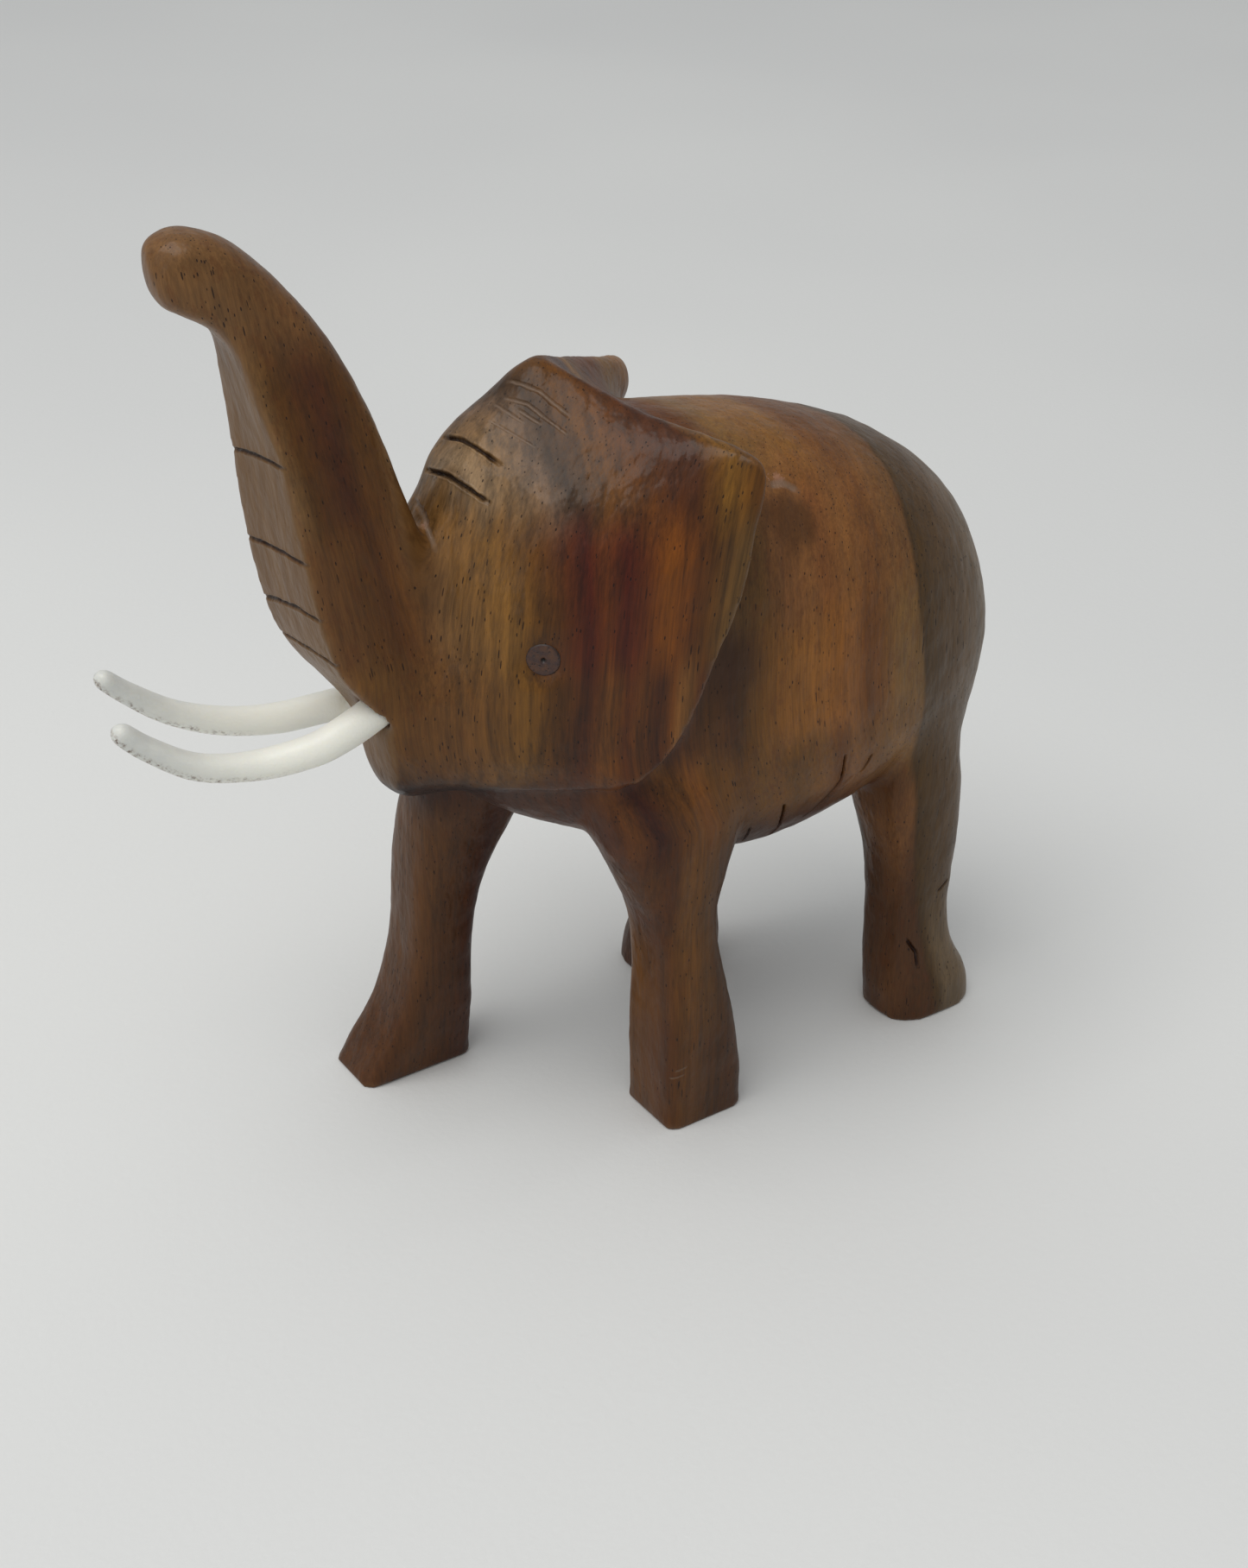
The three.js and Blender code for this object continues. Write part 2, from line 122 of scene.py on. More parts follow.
def apply_modifiers(ob):
    graph = bpy.context.evaluated_depsgraph_get()
    mesh = bpy.data.meshes.new_from_object(ob.evaluated_get(graph))
    ob.modifiers.clear()
    old = ob.data
    ob.data = mesh
    bpy.data.meshes.remove(old)


def coords(mesh):
    co = np.empty(len(mesh.vertices) * 3)
    mesh.vertices.foreach_get("co", co)
    return co.reshape(-1, 3)


def set_coords(mesh, co):
    mesh.vertices.foreach_set("co", np.ascontiguousarray(co, np.float64).ravel())
    mesh.update()


def normals(mesh):
    no = np.empty(len(mesh.vertices) * 3)
    mesh.vertices.foreach_get("normal", no)
    return no.reshape(-1, 3)


def neighbours(mesh):
    """A padded table of each vertex's neighbours, with how many are real."""
    edges = np.empty(len(mesh.edges) * 2, np.int64)
    mesh.edges.foreach_get("vertices", edges)
    edges = edges.reshape(-1, 2)
    a = np.concatenate([edges[:, 0], edges[:, 1]])
    b = np.concatenate([edges[:, 1], edges[:, 0]])
    order = np.argsort(a, kind="stable")
    a, b = a[order], b[order]
    n = len(mesh.vertices)
    count = np.bincount(a, minlength=n)
    start = np.concatenate([[0], np.cumsum(count)[:-1]])
    slot = np.arange(len(a)) - start[a]
    table = np.repeat(np.arange(n)[:, None], count.max(), axis=1)
    table[a, slot] = b
    return table, np.maximum(count, 1)


def average(values, table, count):
    """Mean of each vertex's neighbours: the padding repeats the vertex, so it is taken off again."""
    padding = table.shape[1] - count
    total = values[table].sum(1) - values * padding.reshape(-1, *[1] * (values.ndim - 1))
    return total / count.reshape(-1, *[1] * (values.ndim - 1))


def diffuse(values, table, count, rounds, weight):
    for _ in range(rounds):
        values = values + weight * (average(values, table, count) - values)
    return values


def smooth_step(x, low, high):
    t = np.clip((x - low) / (high - low), 0, 1)
    return t * t * (3 - 2 * t)


def distance_to_path(points, path):
    """Distance of each point to a polyline and how far along it the nearest place is, 0 to 1."""
    best = np.full(len(points), 1e9)
    along = np.zeros(len(points))
    lengths = np.linalg.norm(np.diff(path, axis=0), axis=1)
    total, done = lengths.sum(), 0.0
    for a, b, length in zip(path[:-1], path[1:], lengths):
        d = b - a
        t = np.clip(((points - a) @ d) / max(length * length, 1e-18), 0, 1)
        gap = np.linalg.norm(points - (a + t[:, None] * d), axis=1)
        closer = gap < best
        best[closer] = gap[closer]
        along[closer] = (done + t[closer] * length) / total
        done += length
    return best, along


def resample(path, count):
    path = np.asarray(path, float)
    lengths = np.concatenate([[0], np.cumsum(np.linalg.norm(np.diff(path, axis=0), axis=1))])
    at = np.linspace(0, lengths[-1], count)
    return np.stack([np.interp(at, lengths, path[:, k]) for k in range(3)], axis=1)


def wave_noise(points, size, seed):
    """Smooth seeded noise from -1 to 1, from sums of plane waves of about that size."""
    rng = np.random.default_rng(seed)
    total = np.zeros(len(points))
    weight = 0.0
    for octave in range(2):
        waves = 10
        direction = rng.normal(size=(waves, 3))
        direction /= np.linalg.norm(direction, axis=1)[:, None]
        direction *= (2 * math.pi / (size / 2**octave)) * rng.uniform(0.6, 1.4, (waves, 1))
        phase = rng.uniform(0, 2 * math.pi, waves)
        share = 0.5**octave
        total += share * np.sin(points @ direction.T + phase).sum(1) / math.sqrt(waves / 2)
        weight += share
    return np.clip(total / weight, -2, 2) / 2


# ---- the carved body: remeshed from the CAD solid, relaxed, then cut --------------------------------

VOXEL = 0.5
RELAX_ROUNDS = 55
SEAT_ROUNDS = 260             # extra rounds where the thighs run into the rump
CUT_POINTS = 24               # points along each cut
CUT_REACH = 1.6               # how far round a cut the mesh is split finer
CUT_SPLITS = 2
PALE_DEPTH = 0.22             # shallower cuts are fresh scratches and show pale
EDGE_ROUNDS, EDGE_HEIGHT = 12, 0.25  # smoothing rounds, and the mm of relief that count in full
HOLLOW_ROUNDS, HOLLOW_DEPTH = 90, 1.1
FINAL_TRIANGLES = 190000
RECESS_RADIUS, RECESS_DEPTH = 3.1, 4.2  # the filling of a drilled eye recess
FILL_BELOW_SKIN = 0.55

EAR_RIM = [  # the left ear's outer edge, head drawing
    (20.8, 1, 109.4), (12.4, 11.5, 105), (4.6, 20.8, 102.8), (1.8, 23.8, 101), (2, 24.4, 97.5),
    (3, 24.6, 94), (3.8, 24.8, 90), (5, 24.6, 84), (7.6, 24, 77), (10, 23.4, 70), (12.7, 22.3, 64),
    (16.4, 21.2, 60),
]
EAR_DROOP, EAR_SET_BACK = 2.2, 1.8  # the right ear's corner against the left's
TRUNK_FACING = (0.985, 0.17, 0)     # the way the trunk's flat front looks, head drawing
TRUNK_ARRIS = [  # the corner between the trunk's front face and its left side, head drawing
    (60, 5.5, 116.9), (58.2, 6.7, 110.5), (56.1, 8.2, 103), (54.6, 9.3, 92), (53.2, 9.6, 83.6),
    (50.9, 9.7, 76), (45.8, 9, 68.6),
]
TRUNK_RIGHT_ARRIS = [
    (60.8, -4.9, 116.9), (59.7, -5.4, 110.5), (59, -5.5, 103), (57.9, -6.2, 92), (56.6, -6.3, 83.6),
    (54.3, -6.4, 76), (49.1, -6.3, 68.6),
]
RUMP_SEAT = [(-36, 15, 52), (-43, 5, 52), (-43, -5, 52), (-36, -13, 52)]  # where thighs meet the rump
JAW_EDGE = [
    (43.2, 6, 57), (38.4, 9.6, 58.6), (34, 12.4, 59), (29.2, 13.6, 57.6), (24, 16, 57.4),
    (18.4, 18.4, 57.8),
]

# Knife-cut grooves: path in the head drawing, half width, depth.
TRUNK_GROOVES = [
    ([(58.9, -5.6, 101.5), (58.3, -2, 102.4), (57.4, 3, 103.2), (56.2, 8.1, 103.5)], 0.34, 0.40),
    ([(57.5, -6.2, 89.7), (57, -2, 90.4), (56, 4, 91.1), (54.5, 9.3, 91.4)], 0.34, 0.40),
    ([(55.9, -6.3, 81.2), (55.6, -2, 82.4), (54.8, 4, 83.6), (53.3, 9.5, 83.9)], 0.40, 0.46),
    ([(54.3, -6.4, 76), (54, -2, 76.6), (53, 4, 77.4), (51.5, 9.6, 77.8)], 0.40, 0.46),
]
BROW_GROOVES = [
    ([(32.9, -2.7, 100.1), (32, 1.3, 101.1), (30.8, 4.7, 100.7), (29.3, 7.1, 99.6)], 0.36, 0.6),
    ([(35.8, -2, 96.6), (34.8, 3.4, 97.7), (33.1, 6.1, 96.7), (31.4, 8.7, 95.6)], 0.4, 0.75),
]
BROW_SCRATCHES = [
    ([(25.4, 0.3, 107.3), (22.7, 4, 106.8), (20.5, 7.8, 104.8)], 0.34, 0.2),
    ([(26.6, 2, 105.9), (24.4, 4.4, 105.5), (22.5, 7.5, 103.9)], 0.3, 0.17),
    ([(25.6, 4.1, 104.9), (23.8, 6.7, 103.8)], 0.28, 0.15),
    ([(27.6, 1.2, 104.9), (25.4, 5.4, 103.6)], 0.26, 0.14),
    ([(28.6, 2.6, 103.2), (26.8, 5.6, 102.4), (25, 8, 101.4)], 0.2, 0.1),
    ([(24.2, 5.6, 105.6), (21.6, 9.6, 103.4)], 0.22, 0.12),
]
NOSE_FOLD = [  # where the brow meets the root of the trunk
    ([(37.4, -2, 92.8), (37.5, 1.9, 92.6), (37.7, 4.4, 91.4), (37.4, 6, 89.4)], 0.5, 0.2),
]
DRYING_CRACKS = [  # lower left flank, curving under the belly, body drawing
    ([(-13.1, 21.2, 54), (-13.8, 19.8, 49.6), (-12.6, 18.3, 46.4), (-10.6, 15.6, 43.2)], 0.26, 0.9),
    ([(-18.6, 20.2, 52), (-17.7, 19.6, 49.2)], 0.24, 0.7),
    ([(-5, 18.8, 47.6), (-6.7, 15.6, 42), (-7, 13.2, 39.4)], 0.26, 0.8),
    ([(-1.2, 16.4, 44), (-2.3, 13.4, 40.2)], 0.2, 0.5),
]
SKIN_NICKS = [  # behind the ear's corner and on the left front foot, body drawing
    ([(-3.4, 14.6, 93), (-5.6, 14.4, 92.6), (-7.3, 15.2, 91.4)], 0.7, 0.2),
    ([(12.4, 19.4, 10.6), (10.8, 20, 11)], 0.2, 0.16),
    ([(12.6, 18.6, 9.4), (11, 19.6, 9.8)], 0.16, 0.14),
]
ANKLE_NOTCHES = [  # outside of the rear left ankle, body drawing
    ([(-38.6, 15.6, 22.8), (-36.8, 16.6, 21.6)], 0.3, 0.35),
    ([(-31.4, 16.8, 14.4), (-33.2, 17.2, 12.2), (-33.6, 17.4, 9.4)], 0.34, 0.4),
]


def fill_eye_recesses(bm):
    """Plugs each drilled recess just under the skin, so that the remesh sees plain cheeks there."""
    for side in (LEFT, RIGHT):
        outward = np.array([math.sin(EYE_YAW), side * math.cos(EYE_YAW), 0.0])
        mouth = np.array([EYE_MOUTH[0], side * EYE_MOUTH[1], EYE_MOUTH[2]])
        ends = head_points([mouth - outward * RECESS_DEPTH, mouth - outward * FILL_BELOW_SKIN])
        axis = Vector(ends[1] - ends[0])
        centre = Vector((ends[0] + ends[1]) / 2)
        pose = Matrix.Translation(centre) @ axis.to_track_quat("Z", "Y").to_matrix().to_4x4()
        bmesh.ops.create_cone(
            bm, cap_ends=True, segments=32, radius1=RECESS_RADIUS * MM, radius2=RECESS_RADIUS * MM,
            depth=axis.length, matrix=pose,
        )


def remeshed_body():
    bm = bmesh.new()
    bm.from_mesh(frame["nodes"]["carved_body"].data)
    fill_eye_recesses(bm)
    mesh = bpy.data.meshes.new("elephant_wood")
    bm.to_mesh(mesh)
    bm.free()
    ob = new_object("elephant_wood", mesh)
    remesh = ob.modifiers.new("remesh", "REMESH")
    remesh.mode = "VOXEL"
    remesh.voxel_size = VOXEL * MM
    remesh.use_smooth_shade = True
    apply_modifiers(ob)
    return ob


def drooped(path):
    """Mirrors the left ear's edge to the right ear, whose corner hangs lower and further back."""
    share = smooth_step(path[:, 1], 10, 21) * smooth_step(path[:, 2], 90, 99)
    x = path[:, 0] - EAR_SET_BACK * share
    z = path[:, 2] - EAR_DROOP * share
    return np.stack([x, -path[:, 1], z], axis=1)


def softness(co):
    """How far each vertex may relax, 0 to 1, from drawing positions in millimetres."""
    head = unturn(co)
    keep = np.zeros(len(co))
    rim = np.array(EAR_RIM, float)
    for path in (rim, drooped(rim)):
        gap, _ = distance_to_path(head, path)
        keep = np.maximum(keep, 0.9 * (1 - smooth_step(gap, 0.6, 2.6)))
    for path in (TRUNK_ARRIS, TRUNK_RIGHT_ARRIS):
        gap, _ = distance_to_path(head, np.array(path, float))
        keep = np.maximum(keep, 0.97 * (1 - smooth_step(gap, 0.8, 2.2)))
    jaw = np.array(JAW_EDGE, float)
    for path in (jaw, jaw * np.array([1, -1, 1])):
        gap, _ = distance_to_path(head, path)
        keep = np.maximum(keep, 0.85 * (1 - smooth_step(gap, 0.6, 2.2)))
    sole = 1 - smooth_step(co[:, 2], 0.4, 2.0)
    return 1 - np.maximum(keep, 0.9 * sole)


def relax(ob):
    """Takes the remesh's steps out without shrinking, and eases the thighs into the rump."""
    mesh = ob.data
    table, count = neighbours(mesh)
    co = coords(mesh)
    weight = (0.5 * softness(co / MM - SHIFT))[:, None]
    base = diffuse(co, table, count, RELAX_ROUNDS, weight)
    back = diffuse(co - base, table, count, RELAX_ROUNDS, weight)
    co = base + back
    co = diffuse(co, table, count, 4, 0.3)
    seat, _ = distance_to_path(co / MM - SHIFT, np.array(RUMP_SEAT, float))
    co = diffuse(co, table, count, SEAT_ROUNDS, 0.5 * (1 - smooth_step(seat, 5, 13))[:, None])
    co[:, 2] = np.maximum(co[:, 2], body_low.z)
    set_coords(mesh, co)


def snap(tree, path):
    """The path's points moved onto the wood's skin."""
    points = resample(path, CUT_POINTS)
    return np.array([tree.find_nearest(Vector(p))[0] for p in points])


def refine(ob, paths, radius, rounds):
    """Splits the mesh near the paths, so that narrow cuts have enough vertices."""
    bm = bmesh.new()
    bm.from_mesh(ob.data)
    for step in range(rounds):
        bm.verts.ensure_lookup_table()
        co = np.array([v.co[:] for v in bm.verts])
        near = np.zeros(len(co), bool)
        for path in paths:
            reach = radius * (1 - 0.25 * step)
            box = np.all((co > path.min(0) - reach) & (co < path.max(0) + reach), axis=1)
            index = np.nonzero(box)[0]
            gap, _ = distance_to_path(co[index], path)
            near[index[gap < reach]] = True
        edges = [e for e in bm.edges if near[e.verts[0].index] and near[e.verts[1].index]]
        bmesh.ops.subdivide_edges(bm, edges=edges, cuts=1, use_grid_fill=True)
        bm.verts.index_update()
    bmesh.ops.triangulate(bm, faces=[f for f in bm.faces if len(f.verts) > 4])
    bm.to_mesh(ob.data)
    bm.free()


def cut_groove(co, no, marks, path, half, depth, seed):
    """Presses a V along the path, with uneven sides and faded ends, and marks where it went."""
    reach = 2.5 * half
    box = np.all((co > path.min(0) - reach) & (co < path.max(0) + reach), axis=1)
    index = np.nonzero(box)[0]
    gap, along = distance_to_path(co[index], path)
    uneven = 1 + 0.25 * wave_noise(co[index] / MM, 1.6, seed)
    width = half * uneven
    ends = smooth_step(along, 0.0, 0.12) * (1 - smooth_step(along, 0.86, 1.0))
    shape = np.clip(1 - gap / width, 0, 1)
    drop = depth * (0.35 + 0.65 * ends) * shape**0.85 * uneven
    lip = 0.10 * depth * np.exp(-(((gap - 1.25 * width) / (0.35 * width)) ** 2)) * ends
    co[index] += no[index] * (lip - drop)[:, None]
    marks[index] = np.maximum(marks[index], smooth_step(shape, 0.05, 0.6) * (0.3 + 0.7 * ends))


def carve(ob):
    """Makes every cut, and notes deep ones in the attribute cut, shallow ones in scratch."""
    tree = BVHTree.FromObject(ob, bpy.context.evaluated_depsgraph_get())
    cuts = []
    for group in (TRUNK_GROOVES, BROW_GROOVES, BROW_SCRATCHES, NOSE_FOLD):
        for path, half, depth in group:
            cuts.append((snap(tree, head_points(path)), half * MM, depth * MM))
    for group in (DRYING_CRACKS, SKIN_NICKS, ANKLE_NOTCHES):
        for path, half, depth in group:
            cuts.append((snap(tree, body_points(path)), half * MM, depth * MM))
    refine(ob, [path for path, _, _ in cuts], CUT_REACH * MM, CUT_SPLITS)
    mesh = ob.data
    co, no = coords(mesh), normals(mesh)
    marks, pale = np.zeros(len(co)), np.zeros(len(co))
    for seed, (path, half, depth) in enumerate(cuts):
        kind = pale if depth < PALE_DEPTH * MM else marks
        cut_groove(co, no, kind, path, half, depth, seed + 11)
    set_coords(mesh, co)
    set_attribute(ob, "cut", marks)
    set_attribute(ob, "scratch", pale)


def knife_facets(ob):
    """The slight flats and hollows that a knife and a rasp leave all over."""
    mesh = ob.data
    co, no = coords(mesh), normals(mesh)
    p = co / MM
    amount = 0.10 * wave_noise(p * np.array([1, 1, 0.6]), 9.0, 3) + 0.05 * wave_noise(p, 4.2, 4)
    amount *= smooth_step(p[:, 2], 0.6, 3.0)
    co += no * (amount * MM)[:, None]
    set_coords(mesh, co)


def front_faces(ob):
    """1 on the flat front faces of the trunk and the chin, which were cut across the grain last."""
    mesh = ob.data
    head = unturn(coords(mesh) / MM - SHIFT)
    no = unturn(normals(mesh) + np.array([NECK_X, 0, 0])) - np.array([NECK_X, 0, 0])
    facing = no @ np.array(TRUNK_FACING) + 0.05 * wave_noise(head, 1.4, 41)
    place = smooth_step(head[:, 0], 41.5, 43) * (1 - smooth_step(head[:, 2], 112, 118))
    return smooth_step(facing, 0.74, 0.82) * place * smooth_step(head[:, 2], 55, 57)


def convexity(ob, rounds):
    """How far each vertex stands out of its smoothed surroundings, in millimetres."""
    mesh = ob.data
    table, count = neighbours(mesh)
    co = coords(mesh)
    smooth = diffuse(co, table, count, rounds, 0.5)
    return ((co - smooth) * normals(mesh)).sum(1) / MM


def set_attribute(ob, name, values):
    attribute = ob.data.attributes.get(name) or ob.data.attributes.new(name, "FLOAT", "POINT")
    attribute.data.foreach_set("value", np.ascontiguousarray(values, np.float32))


def carved_wood():
    ob = remeshed_body()
    relax(ob)
    knife_facets(ob)
    carve(ob)
    set_attribute(ob, "edge", np.clip(convexity(ob, EDGE_ROUNDS) / EDGE_HEIGHT, -1, 1))
    set_attribute(ob, "hollow", np.clip(-convexity(ob, HOLLOW_ROUNDS) / HOLLOW_DEPTH, 0, 1))
    set_attribute(ob, "front", front_faces(ob))
    thin = ob.modifiers.new("thin", "DECIMATE")
    ob.data.calc_loop_triangles()
    thin.ratio = min(1.0, FINAL_TRIANGLES / len(ob.data.loop_triangles))
    apply_modifiers(ob)
    ob.data.shade_smooth()
    return ob


# ---- tusks ----------------------------------------------------------------------------------------

TUSK_RADIUS, TUSK_TIP_RADIUS, TUSK_TAPER_POWER = 2.3, 1.3, 1.8
TUSK_ROUNDING_START = 0.965   # how far along the blunt end begins
TUSK_RINGS, TUSK_SIDES = 110, 36
TUSK_PATHS = {
    LEFT: [(36, 1.8, 71.4), (41, 3.6, 70.1), (46, 5.9, 68.7), (50.5, 7.3, 67.3), (55, 7.9, 66.1),
           (62, 7.5, 65.4), (69.2, 7.4, 66.7), (75, 7.3, 70.4), (78.8, 7.3, 74)],
    RIGHT: [(36, -4.4, 64.8), (41, -6.1, 64), (47, -7.5, 63.4), (55, -7.8, 62.9), (62, -7.8, 64),
            (68.5, -7.8, 66.6), (73.8, -7.8, 70.4), (77.4, -7.8, 73.7)],
}


def spline(points, count):
    """Points along a Catmull-Rom curve."""
    p = np.asarray(points, float)
    p = np.vstack([2 * p[0] - p[1], p, 2 * p[-1] - p[-2]])
    out = []
    for i in range(1, len(p) - 2):
        for t in np.linspace(0, 1, 40, endpoint=False):
            a, b, c, d = p[i - 1], p[i], p[i + 1], p[i + 2]
            out.append(0.5 * (2 * b + (c - a) * t + (2 * a - 5 * b + 4 * c - d) * t**2
                              + (3 * b - a - 3 * c + d) * t**3))
    out.append(p[-2])
    return resample(out, count)


def tusk(name, node, side, seed):
    """A slightly uneven tapered rod. Each vertex knows how far along it is and how far underneath."""
    line = spline(TUSK_PATHS[side], TUSK_RINGS + 1)
    rng = np.random.default_rng(seed)
    wobble = rng.uniform(0, 2 * math.pi, 4)
    verts, faces, along, under = [], [], [], []
    for i, centre in enumerate(line):
        t = i / TUSK_RINGS
        ahead = line[min(i + 1, TUSK_RINGS)] - line[max(i - 1, 0)]
        ahead /= np.linalg.norm(ahead)
        across = np.array([-ahead[1], ahead[0], 0.0])
        across /= np.linalg.norm(across)
        over = np.cross(ahead, across)
        radius = TUSK_RADIUS + (TUSK_TIP_RADIUS - TUSK_RADIUS) * t**TUSK_TAPER_POWER
        radius *= 1 + 0.012 * math.sin(9 * t + wobble[0]) + 0.008 * math.sin(31 * t + wobble[1])
        rounding = max(0.0, (t - TUSK_ROUNDING_START) / (1 - TUSK_ROUNDING_START))
        radius *= math.sqrt(max(1 - 0.93 * rounding**2, 0.0))
        for k in range(TUSK_SIDES):
            angle = 2 * math.pi * k / TUSK_SIDES
            flat = 1 + 0.02 * math.sin(2 * angle + wobble[2]) + 0.008 * math.sin(5 * angle + 6 * t)
            verts.append(centre + radius * flat * (math.cos(angle) * across + math.sin(angle) * over))
            along.append(t)
            under.append(-math.sin(angle))
    for i in range(TUSK_RINGS):
        for k in range(TUSK_SIDES):
            a, b = i * TUSK_SIDES + k, i * TUSK_SIDES + (k + 1) % TUSK_SIDES
            faces.append((a, b, b + TUSK_SIDES, a + TUSK_SIDES))
    for ring, turned in ((0, True), (TUSK_RINGS, False)):
        hub = len(verts)
        verts.append(line[ring])
        along.append(ring / TUSK_RINGS)
        under.append(0.0)
        for k in range(TUSK_SIDES):
            a, b = ring * TUSK_SIDES + k, ring * TUSK_SIDES + (k + 1) % TUSK_SIDES
            faces.append((hub, b, a) if turned else (hub, a, b))
    ob = new_object(name, mesh_from(name, head_points(verts), faces))
    set_attribute(ob, "along", np.array(along))
    set_attribute(ob, "under", np.array(under))
    ob.data.shade_smooth()
    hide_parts(node)
    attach(ob, "root")
    return ob


# ---- eye plugs ------------------------------------------------------------------------------------

EYE_RADIUS, EYE_DEPTH = 2.4, 3.0
EYE_DOME = 0.12               # how far the face's middle stands out
EYE_RINGS, EYE_SIDES = 26, 48


def eye_plug(name, node, side, seed):
    """A short dowel with a worn, slightly domed face, a rounded rim and a pricked pupil."""
    outward = np.array([math.sin(EYE_YAW), side * math.cos(EYE_YAW), 0.0])
    level = np.array([-outward[1], outward[0], 0.0])
    mouth = np.array([EYE_MOUTH[0], side * EYE_MOUTH[1], EYE_MOUTH[2]])
    profile = [(0.0, -EYE_DEPTH), (EYE_RADIUS * 0.98, -EYE_DEPTH), (EYE_RADIUS, -0.5)]
    for i in range(EYE_RINGS + 1):
        r = EYE_RADIUS * (1 - i / EYE_RINGS)
        rim = smooth_step(np.array(r), EYE_RADIUS * 0.80, EYE_RADIUS)
        pupil = math.exp(-((r / 0.30) ** 2))
        inner = math.exp(-(((r - 0.95) / 0.16) ** 2))
        profile.append((r, EYE_DOME - 0.32 * float(rim) - 0.42 * pupil - 0.05 * inner))
    verts, faces, radial = [mouth + outward * profile[0][1]], [], [0.0]
    for r, depth in profile[1:-1]:
        for k in range(EYE_SIDES):
            angle = 2 * math.pi * k / EYE_SIDES
            spoke = math.cos(angle) * level + math.sin(angle) * np.array([0, 0, 1.0])
            verts.append(mouth + outward * depth + r * spoke)
            radial.append(r / EYE_RADIUS)
    verts.append(mouth + outward * profile[-1][1])
    radial.append(0.0)
    rows = len(profile) - 2
    last = 1 + (rows - 1) * EYE_SIDES
    for k in range(EYE_SIDES):
        j = (k + 1) % EYE_SIDES
        faces.append((0, 1 + j, 1 + k))
        for row in range(rows - 1):
            a, b = 1 + row * EYE_SIDES + k, 1 + row * EYE_SIDES + j
            faces.append((a, b, b + EYE_SIDES, a + EYE_SIDES))
        faces.append((last + k, last + j, len(verts) - 1))
    verts = np.array(verts)
    verts += outward * (0.03 * wave_noise(verts, 1.1, seed))[:, None]
    ob = new_object(name, mesh_from(name, head_points(verts), faces))
    bm = bmesh.new()
    bm.from_mesh(ob.data)
    bmesh.ops.recalc_face_normals(bm, faces=bm.faces)
    bm.to_mesh(ob.data)
    bm.free()
    set_attribute(ob, "radial", np.array(radial))
    ob.data.shade_smooth()
    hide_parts(node)
    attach(ob, "root")
    return ob


# ---- node helpers -----------------------------------------------------------------------------------


def linear(rgb, gain=1.0, hazes=(0.0, 0.0, 0.0)):
    """sRGB 0-255 to linear RGBA, less the haze that the polish's reflections add back."""
    out = []
    for v, haze in zip(rgb, hazes):
        v /= 255
        v = v / 12.92 if v <= 0.04045 else ((v + 0.055) / 1.055) ** 2.4
        out.append(gain * max(v - haze, 0.1 * v))
    return (*out, 1.0)


def wood_colour(rgb):
    """A colour as seen on the polished wood, to the colour under the polish."""
    return linear(rgb, WOOD_GAIN, WOOD_HAZE)


